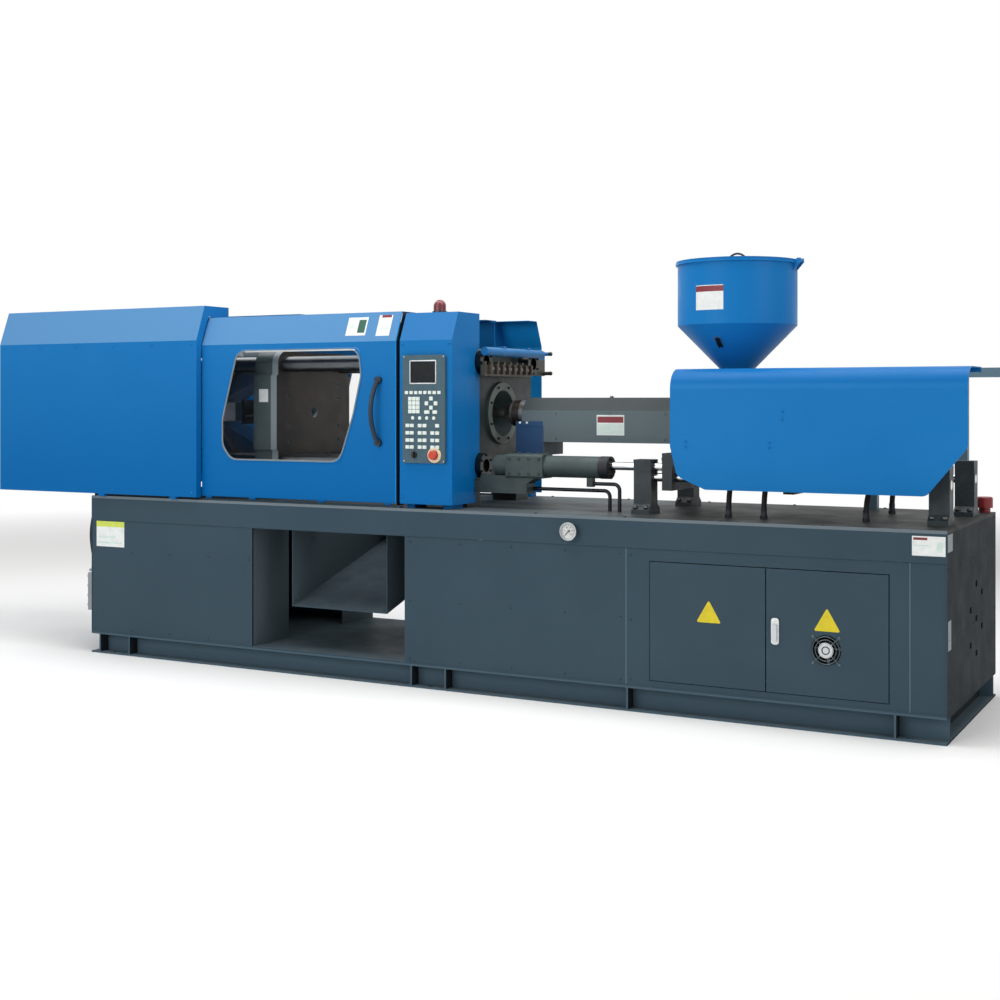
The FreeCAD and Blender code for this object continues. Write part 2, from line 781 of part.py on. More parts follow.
def pump_unit():
    """Finned motor on its feet with the pump on its left end."""
    half = motor_half_length
    motor = rod_x(motor_radius, motor_x - half, motor_x + half, motor_y, motor_z)
    fins = []
    for index in range(16):
        turn = index * 22.5
        fin = box(motor_x - half + 15, motor_x + half - 15, motor_y - 2, motor_y + 2,
                  motor_z + motor_radius - 3, motor_z + motor_radius + 12)
        fin.rotate(vec(0, motor_y, motor_z), vec(1, 0, 0), turn)
        fins.append(fin)
    cowl = rod_x(motor_radius + 14, motor_x + half - 10, motor_x + half + 50, motor_y, motor_z)
    flange = rod_x(motor_radius + 20, motor_x - half - 25, motor_x - half, motor_y, motor_z)
    bell_end = motor_x - half - 115
    bell = Part.makeCone(70, motor_radius, 90, vec(bell_end, motor_y, motor_z), vec(1, 0, 0))
    pump = box(bell_end - 175, bell_end, motor_y - 75, motor_y + 75, motor_z - 70, motor_z + 70)
    foot = box(motor_x - half + 40, motor_x + half - 40, motor_y - 110, motor_y + 110,
               floor_top, floor_top + 20)
    web = box(motor_x - half + 70, motor_x + half - 70, motor_y - 90, motor_y + 90,
              floor_top + 20, motor_z - 60)
    return fuse([motor] + fins + [cowl, flange, bell, pump, foot, web])


def pressure_gauge():
    """Round gauge on the front beam: case, rim and dial."""
    case = rod_y(gauge_radius - 4, -half_width - 26, -half_width, gauge_x, gauge_z)
    rim = rod_y(gauge_radius, -half_width - 30, -half_width - 18, gauge_x, gauge_z)
    recess = rod_y(gauge_radius - 4, -half_width - 31, -half_width - 22, gauge_x, gauge_z)
    pivot = rod_y(1.5, -half_width - 27, -half_width - 22, gauge_x, gauge_z)
    return fuse([case.fuse(rim).cut(recess), pivot])


def gauge_needle():
    y0, y1 = -half_width - 26, -half_width - 24.6
    needle = plate_y([(gauge_x - 2.2, gauge_z - 8), (gauge_x + 2.2, gauge_z - 8),
                      (gauge_x + 0.7, gauge_z + 24), (gauge_x - 0.7, gauge_z + 24)], y0, y1)
    boss = rod_y(4, y0, y1, gauge_x, gauge_z)
    needle = needle.fuse(boss).removeSplitter()
    needle.rotate(vec(gauge_x, 0, gauge_z), vec(0, 1, 0), -135)
    return needle.cut(rod_y(1.5 + running_clearance, y0 - 1, y1 + 1, gauge_x, gauge_z))


def oil_filler_cap():
    """Breather cap on the deck at the back right corner."""
    x, y = half_length - 38, half_width - 42
    neck = rod_z(24, deck_top, deck_top + 20, x, y)
    cap = rod_z(34, deck_top + 20, deck_top + 66, x, y)
    crown = [e for e in cap.Edges if len(e.Vertexes) == 1 and abs(e.CenterOfMass.z - cap.BoundBox.ZMax) < 1]
    cap = cap.makeFillet(8, crown)
    return fuse([neck, cap])


def water_manifold():
    """Cooling water block with four hose nipples, and the two fittings of the hose on the left end."""
    x = -half_length
    block = box(x - 44, x, -half_width + 20, -half_width + 84, 205, 392)
    nipples = [rod_x(9, x - 70, x - 44, -half_width + 52, 226 + index * 48) for index in range(4)]
    top, bottom = left_hose_route[0], left_hose_route[-1]
    arm = box(top[0] - 20, x + 46, top[1] - 22, top[1] + 22, top[2] + 12, top[2] + 24)
    foot = box(x + 6, x + 46, top[1] - 22, top[1] + 22, deck_top, top[2] + 12)
    gland = rod_z(15, top[2], top[2] + 12, top[0], top[1])
    lower = box(bottom[0] - 18, x, bottom[1] - 18, bottom[1] + 18, bottom[2] - 22, bottom[2] - 10)
    socket = rod_z(15, bottom[2] - 10, bottom[2], bottom[0], bottom[1])
    return group([fuse([block] + nipples), fuse([arm, foot, gland]), fuse([lower, socket])])


def clamp_cover():
    """Folded covers on both sides of the toggle and the end cover that joins them."""
    shoulder = [(-cover_front, cover_bottom), (-cover_front, cover_shoulder),
                (-cover_front + cover_slope, cover_top),
                (-cover_front + cover_slope + cover_flange, cover_top)]
    front = plate_x(folded(shoulder, guard_sheet), cover_left + guard_sheet, cover_right)
    inner, gap = cover_front - guard_sheet, cover_door_gap
    flange_end = -cover_front + cover_slope + cover_flange
    edge_return = [(-inner, cover_bottom), (-inner, cover_shoulder),
                   (-inner + cover_slope, cover_top - guard_sheet), (flange_end, cover_top - guard_sheet),
                   (flange_end, door_top + gap), (-door_front + door_slope - gap, door_top + gap),
                   (-door_front - gap, door_shoulder + gap), (-door_front - gap, cover_bottom)]
    front = fuse([front, plate_x(edge_return, cover_right - guard_sheet, cover_right)])
    end = plate_x([(-cover_front, cover_bottom), (-cover_front, cover_shoulder),
                   (-cover_front + cover_slope, cover_top), (cover_front - cover_slope, cover_top),
                   (cover_front, cover_shoulder), (cover_front, cover_bottom)],
                  cover_left, cover_left + guard_sheet)
    return both_sides(front) + [end]


def cover_stays():
    """Feet that carry the clamp cover on the base beams."""
    stays = []
    for x in (-half_length + cover_stay_insets[0], cover_right - cover_stay_insets[1]):
        x1 = x + cover_stay_length
        foot = box(x, x1, -half_width, -half_width + 12, deck_top, deck_top + 5)
        back = box(x, x1, -cover_front + guard_sheet, -half_width, deck_top, cover_bottom + 60)
        stays.append(foot.fuse(back).removeSplitter())
    return stays


def tail_platen():
    """Tail platen: bored plate, centre and outer lugs with the rear toggle pins."""
    x0, x1 = tail_back, tail_face
    body = bored_platen(platen(x0, x1), x0, x1, running_clearance)
    pin_x = toggle["tail_pin"][0]
    pieces = [body]
    for side in (-1, 1):
        z = axis_z + side * tail_pin_height
        spans = ((-middle_layer, middle_layer, 110), (-small_layer_end, -small_layer, 44),
                 (small_layer, small_layer_end, 44))
        for y0, y1, depth in spans:
            arm = [(x1 - 5, z + side * 44), (x1 - 5, z - side * depth),
                   (pin_x, z - side * knee_boss), (pin_x, z + side * knee_boss)]
            lug = plate_y(arm, y0, y1).fuse(rod_y(knee_boss, y0, y1, pin_x, z))
            pieces.append(lug)
        pieces.append(rod_y(toggle_pin_radius, -small_layer_end - 10, small_layer_end + 10, pin_x, z))
    body = fuse(pieces)
    body = body.cut(rod_x(rod_guide_radius, x0 - 1, x1 + 1, 0, axis_z))
    shoes = []
    for side in (-1, 1):
        shoes.append(box(x0 + 10, x1 - 10, side * 270 - 45, side * 270 + 45,
                         deck_top + seat_gap, axis_z - platen_half + 5))
    return fuse([body] + shoes)


def clamp_cylinder():
    """Clamp cylinder bolted to the back of the tail platen, with its rod bore."""
    x1 = tail_back
    x0 = x1 - clamp_cylinder_length
    half = clamp_flange_side / 2
    barrel_part = rod_x(clamp_cylinder_radius, x0 + 40, x1 - 30, 0, axis_z)
    front = box(x1 - 40, x1, -half, half, axis_z - half, axis_z + half)
    back = box(x0, x0 + 50, -half, half, axis_z - half, axis_z + half)
    ports = [rod_z(20, axis_z + half - 5, axis_z + half + 26, x, 0) for x in (x0 + 25, x1 - 20)]
    body = fuse([barrel_part, front, back] + ports)
    return body.cut(rod_x(clamp_rod_radius + running_clearance, x0 + 60, x1 + 1, 0, axis_z))


def adjusting_nuts():
    """Geared nuts on the tie bars behind the tail platen, with their keeper plate edge."""
    nuts = []
    for y, z in tie_bar_places():
        nut = rod_x(62, tail_back - 60, tail_back, y, z)
        gear = rod_x(74, tail_back - 40, tail_back - 12, y, z)
        nuts.append(nut.fuse(gear).removeSplitter().cut(
            rod_x(tie_bar_radius + running_clearance, tail_back - 61, tail_back + 1, y, z)))
    return group(nuts)


def stationary_platen():
    """Fixed platen: locating bore, nozzle recess, mould bolt holes and its feet."""
    x0, x1 = stationary_face, stationary_back
    body = bored_platen(platen(x0, x1), x0, x1, 0.0)
    feet = [box(x0 + 12, x1 - 12, side * 235 - 60, side * 235 + 60, deck_top,
                axis_z - platen_half + 2) for side in (-1, 1)]
    ring = rod_x(nozzle_ring_radius, x1, x1 + nozzle_ring_height, 0, axis_z)
    body = fuse([body, ring] + feet)
    body = body.cut(rod_x(locating_radius, x0 - 1, x1 + 1, 0, axis_z))
    cone_depth = stationary_thickness - locating_depth + nozzle_ring_height
    cone = Part.makeCone(locating_radius, nozzle_recess_radius, cone_depth,
                         vec(x0 + locating_depth, 0, axis_z), vec(1, 0, 0))
    body = body.cut(cone)
    return drill_mould_bolts(body, x0, 1)


def drill_mould_bolts(body, face, inwards):
    for y, z in mould_bolt_rows:
        for sy in (-1, 1):
            for sz in (-1, 1):
                x0 = face - 1 if inwards > 0 else face - mould_bolt_depth
                hole = rod_x(mould_bolt_radius, x0, x0 + mould_bolt_depth + 1, sy * y, axis_z + sz * z)
                body = body.cut(hole)
    return body


def tie_bars():
    """Four bars with a round nut at the fixed platen end."""
    bars = []
    for y, z in tie_bar_places():
        bar = rod_x(tie_bar_radius, tail_back - 100, stationary_back + tie_bar_stub, y, z)
        nut = rod_x(tie_nut_radius, stationary_back, stationary_back + tie_nut_length, y, z)
        nut = nut.cut(rod_x(tie_bar_radius - 8, stationary_back + tie_bar_stub,
                            stationary_back + tie_nut_length + 1, y, z))
        bars.append(bar.fuse(nut).removeSplitter())
    return group(bars)


def moving_platen():
    """Moving platen: tie bar bushes, front toggle lugs and pins, ejector hole and shoes."""
    x0, x1 = moving_back, moving_face
    pin_x = toggle["platen_pin"][0]
    pieces = [bored_platen(platen(x0, x1), x0, x1, running_clearance)]
    for side in (-1, 1):
        z = axis_z + side * platen_pin_height
        arm = [(x0 + 5, z + side * 60), (x0 + 5, z - side * 80),
               (pin_x, z - side * knee_boss), (pin_x, z + side * knee_boss)]
        for y0, y1 in ((-rear_layer_end, -rear_layer), (rear_layer, rear_layer_end)):
            pieces.append(plate_y(arm, y0, y1).fuse(rod_y(knee_boss, y0, y1, pin_x, z)))
        pieces.append(rod_y(toggle_pin_radius, -rear_layer_end - 8, rear_layer_end + 8, pin_x, z))
        pieces.append(box(x0 + 8, x1 - 8, side * 270 - 42, side * 270 + 42, deck_top + seat_gap,
                          axis_z - platen_half + 5))
    body = fuse(pieces)
    body = body.cut(rod_x(ejector_hole_radius, x0 - 1, x1 + 1, 0, axis_z))
    return drill_mould_bolts(body, x1, -1)


def front_link(side):
    """Long link in the middle layer, bored for the platen pin, with the knee pin flush in its other end."""
    knee, pin = toggle["knee"], toggle["platen_pin"]
    start = (knee[0], axis_z + side * knee[1])
    end = (pin[0], axis_z + side * pin[1])
    y = middle_layer
    body = link(start, end, knee_boss, knee_boss, -y, y)
    return body.cut(rod_y(toggle_pin_radius + running_clearance, -y - 1, y + 1, end[0], end[1]))


def rear_links(side):
    """The pair of short links outside the long one, each with its ear for the crosshead link."""
    pin = (toggle["tail_pin"][0], axis_z + side * tail_pin_height)
    knee = (toggle["knee"][0], axis_z + side * toggle["knee"][1])
    ear = (toggle["ear"][0], axis_z + side * toggle["ear"][1])
    plates = []
    for y0, y1 in ((-rear_layer_end, -rear_layer), (rear_layer, rear_layer_end)):
        plate = fuse([link(pin, knee, knee_boss + 4, knee_boss, y0, y1),
                      link(pin, ear, knee_boss, ear_boss, y0, y1),
                      link(knee, ear, knee_boss, ear_boss, y0, y1)])
        plate = plate.cut(rod_y(toggle_pin_radius + running_clearance, y0 - 1, y1 + 1, pin[0], pin[1]))
        plates.append(plate)
    return group(plates)


def crosshead():
    """Crosshead with its pins, on the end of the clamp piston rod."""
    x, height = toggle["crosshead_pin"]
    pieces = [box(x - 35, x + 20, -rear_layer_end, rear_layer_end, axis_z - height, axis_z + height)]
    for side in (-1, 1):
        z = axis_z + side * height
        pieces.append(rod_y(crosshead_boss, -rear_layer_end, rear_layer_end, x, z))
        pieces.append(rod_y(small_pin_radius, -small_layer_end - 6, small_layer_end + 6, x, z))
    pieces.append(rod_x(clamp_rod_radius, tail_back - clamp_cylinder_length + 70, x, 0, axis_z))
    return fuse(pieces)


def crosshead_links(side):
    pin = (toggle["crosshead_pin"][0], axis_z + side * toggle["crosshead_pin"][1])
    ear = (toggle["ear"][0], axis_z + side * toggle["ear"][1])
    plates = []
    for y0, y1 in ((-small_layer_end, -small_layer), (small_layer, small_layer_end)):
        plate = link(pin, ear, ear_boss, ear_boss, y0, y1)
        plates.append(plate.cut(rod_y(small_pin_radius + running_clearance, y0 - 1, y1 + 1, *pin)))
    return group(plates)


def ejector_cylinder():
    """Ejector cylinder on its bridge and two guide posts behind the moving platen."""
    x1 = moving_back
    back = x1 - ejector_post_length
    posts = [rod_x(ejector_post_radius, back, x1, side * 90, axis_z - 28) for side in (-1, 1)]
    bridge = box(back - 16, back, -110, 110, axis_z - 60, axis_z + 60)
    barrel_part = rod_x(34, back, back + 40, 0, axis_z)
    return fuse(posts + [bridge, barrel_part])


def ejector_plate():
    """Plate that slides on the posts, with the centre ejector rod through the platen."""
    x = moving_back - ejector_travel - 24
    plate = box(x - 12, x + 12, -108, 108, axis_z - 50, axis_z + 36)
    plate = plate.fuse(rod_x(ejector_rod_radius, x, moving_face - 20, 0, axis_z))
    for side in (-1, 1):
        hole = rod_x(ejector_post_radius + running_clearance, x - 20, x + 20, side * 90, axis_z - 28)
        plate = plate.cut(hole)
    return plate.removeSplitter()


window_outline = [(-1268, 1040), (-1268, 1166), (-1186, 1462), (-1150, 1487), (-492, 1487),
                  (-478, 1365), (-520, 1190), (-596, 974), (-1216, 974)]


def window_wire(grow):
    centre_x = sum(p[0] for p in window_outline) / len(window_outline)
    centre_z = sum(p[1] for p in window_outline) / len(window_outline)
    grown = []
    for x, z in window_outline:
        reach = math.hypot(x - centre_x, z - centre_z)
        scale = 1 + grow / reach
        grown.append((centre_x + (x - centre_x) * scale, centre_z + (z - centre_z) * scale))
    return rounded(grown, window_corner)


def guard_door_skin(bottom, top_flange):
    line = [(-door_front, bottom), (-door_front, door_shoulder),
            (-door_front + door_slope, door_top), (-door_front + door_slope + top_flange, door_top)]
    skin = plate_x(folded(line, guard_sheet), door_left, door_right)
    inner = -door_front + guard_sheet
    edges = [box(x, x + guard_sheet, inner, inner + door_edge_depth, bottom, door_shoulder - 6)
             for x in (door_left, door_right - guard_sheet)]
    foot = box(door_left + guard_sheet, door_right - guard_sheet, inner, inner + door_edge_depth,
               bottom, bottom + guard_sheet)
    skin = fuse([skin, foot] + edges)
    hole = Part.Face(window_wire(0)).extrude(vec(0, 40, 0))
    hole.translate(vec(0, -door_front - 20, 0))
    return skin.cut(hole)


def guard_window():
    pane = Part.Face(window_wire(window_margin)).extrude(vec(0, window_glass, 0))
    pane.translate(vec(0, -door_front + guard_sheet, 0))
    return pane


def door_rollers():
    """Roller brackets under the door edge; the rollers run on the lower rail."""
    y = -door_front + guard_sheet
    z = deck_top + rail_height + seat_gap + roller_radius
    parts = []
    for x in roller_stations:
        bracket = box(x - 18, x + 18, y, y + 5, z - 5, door_bottom + 34)
        parts.append(bracket.fuse(rod_y(roller_radius, y + 5, y + 15, x, z)))
    return parts


def front_door():
    return fuse([guard_door_skin(door_bottom, door_flange)] + door_rollers())


def rear_door():
    return mirror_y(fuse([guard_door_skin(door_bottom, door_flange)] + door_rollers()))


def bow_handle():
    """Bowed bar handle on two feet, swept along one arc."""
    y = -door_front
    low, high = vec(handle_x, y - 12, handle_bottom + 18), vec(handle_x, y - 12, handle_top - 18)
    middle = vec(handle_x - 16, y - handle_reach, (handle_bottom + handle_top) / 2)
    arc = Part.Wire([Part.Arc(low, middle, high).toShape()])
    start = Part.Wire([Part.Circle(low, arc.Edges[0].tangentAt(arc.Edges[0].FirstParameter), 10).toShape()])
    bar = arc.makePipeShell([start], True, False)
    feet = [rod_y(17, y - 14, y, handle_x, z) for z in (handle_bottom + 17, handle_top - 17)]
    return fuse([bar] + feet)


def door_rails():
    """Flat rails on the side beams, under the doors' rollers."""
    y = -door_front + guard_sheet
    rail = box(-half_length + 10, housing_left, y, y + 22, deck_top, deck_top + rail_height)
    return both_sides(rail)


def control_cabinet():
    """Folded housing in front of the fixed platen that holds the controller."""
    line = [(-door_front, door_bottom), (-door_front, door_shoulder),
            (-door_front + door_slope, housing_top),
            (-door_front + housing_return, housing_top)]
    skin = plate_x(folded(line, guard_sheet), housing_left, housing_right)
    side_outline = [(-door_front + guard_sheet, door_bottom),
                    (-door_front + guard_sheet, door_shoulder),
                    (-door_front + door_slope, housing_top - guard_sheet),
                    (-door_front + housing_return, housing_top - guard_sheet),
                    (-door_front + housing_return, door_bottom + 60),
                    (-door_front + housing_return - 30, door_bottom + 60),
                    (-door_front + housing_return - 30, door_bottom)]
    right = plate_x(side_outline, housing_right - guard_sheet, housing_right)
    left_outline = [(-door_front + guard_sheet, door_bottom), (-door_front + guard_sheet, door_shoulder),
                    (-door_front + door_slope, housing_top - guard_sheet),
                    (-door_front + 150, housing_top - guard_sheet), (-door_front + 150, door_bottom)]
    left = plate_x(left_outline, housing_left, housing_left + guard_sheet)
    tray = box(housing_left + guard_sheet, housing_right - guard_sheet, -door_front + guard_sheet,
               -door_front + 150, door_bottom, door_bottom + guard_sheet)
    feet = []
    for x in (housing_left + 20, housing_right - 60):
        feet.append(box(x, x + 40, -door_front + 30, -door_front + 130, deck_top, door_bottom))
    strip_front = -door_front + door_edge_depth + guard_sheet
    strip = box(housing_left - closing_strip, housing_left, strip_front, strip_front + guard_sheet,
                door_bottom, door_shoulder)
    body = fuse([skin, right, left, tray, strip] + feet)
    for y, z in tie_bar_places():
        body = body.cut(rod_x(tie_nut_radius + 4, housing_right - 10, housing_right + 1, y, z))
    saddle_gap = 4
    return body.cut(box(housing_right - 10, housing_right + 1, -cylinder_y - saddle_half_width - saddle_gap,
                        -door_front + housing_return + 1, saddle_bottom - saddle_gap, lower_nut_underside()))


def control_panel():
    """Keypad unit: raised plate with the screen recess, key blocks and the stop button collar."""
    y = -door_front
    plate = box(panel_left, panel_right, y - panel_proud, y, panel_bottom, panel_top)
    plate = plate.makeFillet(10, [e for e in plate.Edges if abs(e.Vertexes[0].Y - e.Vertexes[-1].Y) > 1])
    screen = box(-212, -86, y - panel_proud - 1, y - panel_proud + 3, 1330, 1424)
    plate = plate.cut(screen)
    collar = rod_y(29, y - panel_proud - 4, y - panel_proud, stop_x, stop_z)
    plate = plate.fuse(collar)
    bore = rod_y(stop_stem + running_clearance, y - panel_proud - 5, y - 3, stop_x, stop_z)
    knob_bore = rod_y(knob_stem + running_clearance, y - panel_proud - 1, y - 3, knob_x, stop_z)
    return plate.removeSplitter().cut(bore).cut(knob_bore)


def emergency_stop():
    """Mushroom head on its stem."""
    y = -door_front - panel_proud - 4 - stop_stroke - 1
    stem = rod_y(stop_stem, y, -door_front - 10, stop_x, stop_z)
    head = rod_y(stop_head, y - 14, y, stop_x, stop_z)
    outer = [e for e in head.Edges if len(e.Vertexes) == 1 and abs(e.CenterOfMass.y - (y - 14)) < 0.1]
    return fuse([stem, head.makeFillet(6, outer)])


def selector_knob():
    y = -door_front - panel_proud - 0.5
    stem = rod_y(knob_stem, y, -door_front - 5, knob_x, stop_z)
    base = rod_y(14, y - 5, y, knob_x, stop_z)
    grip = box(knob_x - 4, knob_x + 4, y - 17, y - 5, stop_z - 13, stop_z + 13)
    return fuse([stem, base, grip])


def alarm_lamp():
    """Domed lamp on top of the control housing."""
    x, y = lamp_x, -door_front + 150
    base = rod_z(34, housing_top, housing_top + 10, x, y)
    body = rod_z(28, housing_top + 10, housing_top + 34, x, y)
    dome = Part.makeSphere(28, vec(x, y, housing_top + 34), vec(0, 0, 1), 0, 90, 360)
    return fuse([base, body, dome])


def back_cover():
    """Fixed cover beside the platen on the side away from the operator."""
    line = [(door_front, door_bottom), (door_front, door_shoulder),
            (door_front - door_slope, housing_top), (door_front - door_slope - 90, housing_top)][::-1]
    skin = plate_x(folded(line, guard_sheet), housing_left, -70.0)
    side = plate_x([(door_front - guard_sheet, door_bottom), (door_front - guard_sheet, door_shoulder),
                    (door_front - door_slope, housing_top - guard_sheet),
                    (door_front - 110, housing_top - guard_sheet), (door_front - 110, door_bottom)],
                   housing_left, housing_left + guard_sheet)
    feet = box(housing_left + 30, -100, door_front - 60, door_front - guard_sheet, deck_top, door_bottom)
    return fuse([skin, side, feet])


def valve_manifold():
    """Valve block across the back of the fixed platen, its pipe and the bracket with two valve ends."""
    x0 = stationary_back
    top = axis_z + valve_block_top
    block = box(x0, x0 + valve_block_depth, -valve_block_half, valve_block_half,
                axis_z + valve_block_bottom, top)
    fins = []
    for index in range(6):
        y = (index - 2.5) * valve_fin_pitch
        fins.append(box(x0, x0 + valve_block_depth - 6, y - 8, y + 8, top, top + valve_fin_height))
    rail_x = x0 + valve_block_depth - valve_rail_depth
    rail = box(rail_x, x0 + valve_block_depth, -valve_rail_end, -valve_block_half,
               axis_z + valve_block_bottom, top)
    for index in range(2):
        y = -(index + 3.5) * valve_fin_pitch
        fins.append(box(rail_x, x0 + valve_block_depth - 6, y - 8, y + 8, top, top + valve_fin_height))
    z = axis_z + gallery_height
    pipe_x = x0 + valve_block_depth - 2
    pipe = rod_y(gallery_radius, gallery_ends[0], gallery_ends[1], pipe_x, z)
    saddles = [box(x0, pipe_x + 12, y - 14, y + 14, z - gallery_radius + 1, z + gallery_radius + 7)
               for y in gallery_saddles]
    y0, y1 = limit_plate_span
    low, high = limit_plate_heights
    plate = box(x0, x0 + limit_plate_sheet, y0, y1, axis_z + low, axis_z + high)
    pin_end = x0 + limit_plate_sheet + limit_pin_length
    ends = [rod_x(9, x0 + limit_plate_sheet, pin_end, y1 - 20, axis_z + height)
            for height in limit_pin_heights]
    return group([fuse([block, rail] + fins), fuse([pipe] + saddles), fuse([plate] + ends)])


def hydraulic_pipes():
    """Bent steel pipes that feed the carriage cylinder from the deck."""
    y, z = -cylinder_y, cylinder_port_height()
    start = cylinder_port_x() + port_half
    corner = start + 120
    first = [vec(start, y, z), vec(corner, y, z), vec(corner, y, deck_top)]
    side, low, turn = y + 30, saddle_bottom + 20, corner - 58
    second = [vec(saddle_reach, side, low), vec(turn, side, low), vec(turn, side, deck_top)]
    return [bent_pipe(route, pipe_bend, pipe_radius) for route in (first, second)]


def bent_pipe(points, bend, radius):
    edges = []
    last = points[0]
    for index in range(1, len(points) - 1):
        corner = points[index]
        back = (points[index - 1] - corner).normalize()
        ahead = (points[index + 1] - corner).normalize()
        half_angle = back.getAngle(ahead) / 2
        reach = bend / math.tan(half_angle)
        bisector = (back + ahead).normalize()
        centre = corner + bisector * (bend / math.sin(half_angle))
        start, end = corner + back * reach, corner + ahead * reach
        edges.append(Part.LineSegment(last, start).toShape())
        edges.append(Part.Arc(start, centre - bisector * bend, end).toShape())
        last = end
    edges.append(Part.LineSegment(last, points[-1]).toShape())
    path = Part.Wire(edges)
    direction = (points[1] - points[0]).normalize()
    ring = Part.Wire([Part.Circle(points[0], direction, radius).toShape()])
    return path.makePipeShell([ring], True, False)


def lower_nut_underside():
    return axis_z - tie_bar_offset - tie_nut_radius


def cylinder_port_x():
    return carriage_cylinder_right - 44 - port_from_cap


def cylinder_port_height():
    return carriage_cylinder_z - carriage_cylinder_radius - 23


def carriage_cylinders():
    """The carriage cylinder on its saddle, which is bolted to the fixed platen's foot."""
    x0, x1 = carriage_cylinder_left, carriage_cylinder_right
    y, z, r = -cylinder_y, carriage_cylinder_z, carriage_cylinder_radius
    half = cylinder_head_half
    barrel_part = rod_x(r, x0, x1 - 40, y, z)
    cap = rod_x(r + 1.5, x1 - 44, x1, y, z)
    head = box(cylinder_head_left, cylinder_head_right, y - half, y + half, z - half, z + half)
    head = head.makeChamfer(9, [e for e in head.Edges if abs(e.Vertexes[0].X - e.Vertexes[-1].X) > 1])
    foot_face, under_nut = stationary_back - 12, lower_nut_underside() - 8
    past_nut, seat = stationary_back + tie_nut_length + 2, z - r + 4
    saddle = plate_y([(foot_face, saddle_bottom), (saddle_reach, saddle_bottom),
                      (saddle_reach, saddle_bottom + 44), (cylinder_head_right - 31, seat),
                      (past_nut, seat), (past_nut, under_nut), (foot_face, under_nut)],
                     y - saddle_half_width, y + saddle_half_width)
    port_x, port_z = cylinder_port_x(), cylinder_port_height()
    port = box(port_x - port_half, port_x + port_half, y - port_half, y + port_half,
               port_z - port_half, z - r + 4)
    body = fuse([barrel_part, cap, head, saddle, port])
    bore = rod_x(carriage_rod_radius + running_clearance, x0 + 30, x1 + 1, y, carriage_rod_z)
    return body.cut(bore)


def support(x0):
    y, half = -cylinder_y, support_width / 2
    outline = [(y - half - 14, deck_top), (y + half + 14, deck_top), (y + half + 14, deck_top + 18),
               (y + half - 12, deck_top + 40), (y + half - 12, support_top - 60),
               (y + half - 8, support_top), (y - half + 8, support_top),
               (y - half + 12, support_top - 60), (y - half + 12, deck_top + 40),
               (y - half - 14, deck_top + 18)]
    body = plate_x(outline, x0, x0 + support_length)
    body = body.cut(rod_x(guide_rod_radius, x0 - 1, x0 + support_length + 1, y, guide_rod_z))
    return body


def carriage_supports():
    """Four cast pedestals for the guide rods."""
    front = support(front_support_left)
    bored = front.cut(rod_x(carriage_rod_radius + running_clearance, front_support_left - 1,
                            front_support_left + support_length + 1, -cylinder_y, carriage_rod_z))
    rear = support(rear_support_left)
    return group([bored, mirror_y(front)] + both_sides(rear))


def guide_rods():
    rod = rod_x(guide_rod_radius, front_support_left, rear_support_left + support_length,
                -cylinder_y, guide_rod_z)
    return group(both_sides(rod))


def carriage_rod():
    return rod_x(carriage_rod_radius, cylinder_head_right - 20, front_plate_left,
                 -cylinder_y, carriage_rod_z)


def carriage_plate_outline():
    """Low shoulders over the guide rods and a hump that seats the barrel."""
    w, low, shoulder = carriage_half_width, carriage_bottom, carriage_shoulder
    return [(-w, low), (w, low), (w, shoulder), (150, shoulder), (100, 1290),
            (-100, 1290), (-150, shoulder), (-w, shoulder)]


def carriage_frame():
    """Front and rear carriage plates on the guide rods, joined by side beams."""
    w = carriage_half_width
    pieces = [plate_x(carriage_plate_outline(), x, x + carriage_plate)
              for x in (front_plate_left, rear_plate_left)]
    for side in (-1, 1):
        y0, y1 = sorted((side * (w - 50), side * w))
        pieces.append(box(front_plate_left + carriage_plate, rear_plate_left, y0, y1,
                          beam_underside, carriage_shoulder))
    skin = -injection_cover_front + guard_sheet
    for x in cover_bracket_stations:
        pieces.append(box(x, x + cover_bracket, skin, -w + 50, carriage_shoulder, carriage_shoulder + 6))
        pieces.append(box(x, x + cover_bracket, skin, skin + 4, carriage_shoulder,
                          carriage_shoulder + cover_bracket_rise))
    pieces.append(box(rear_plate_left, rear_plate_left + carriage_plate, skin, -95, 1170, 1220))
    body = fuse(pieces)
    for x in (front_plate_left, rear_plate_left):
        for side in (-1, 1):
            body = body.cut(rod_x(guide_rod_radius + running_clearance, x - 1, x + carriage_plate + 1,
                                  side * cylinder_y, guide_rod_z))
        body = body.cut(rod_x(barrel_radius, x - 1, x + carriage_plate + 1, 0, axis_z))
    return body


def barrel():
    """Plasticising barrel with its nozzle, feed block and screw bore."""
    x1 = rear_plate_left + carriage_plate
    tube = rod_x(barrel_radius, 40, x1, 0, axis_z)
    adapter = Part.makeCone(34, barrel_radius, 40, vec(0, 0, axis_z), vec(1, 0, 0))
    nozzle = rod_x(nozzle_radius, nozzle_tip + 24, 0, 0, axis_z)
    tip = Part.makeCone(9, nozzle_radius, 24, vec(nozzle_tip, 0, axis_z), vec(1, 0, 0))
    feed = box(hopper_x - feed_block_half, hopper_x + feed_block_half, -90, 90, axis_z - 90, axis_z + 110)
    bands = [rod_x(barrel_radius + 6, 90 + index * heater_pitch, 50 + (index + 1) * heater_pitch, 0, axis_z)
             for index in range(5)]
    body = fuse([tube, adapter, nozzle, tip, feed] + bands)
    body = body.cut(rod_x(screw_radius + running_clearance, 60, x1 + 1, 0, axis_z))
    body = body.cut(rod_x(melt_channel_radius, nozzle_tip - 1, 61, 0, axis_z))
    throat = rod_z(28, axis_z, axis_z + 111, hopper_x, 0)
    return body.cut(throat)


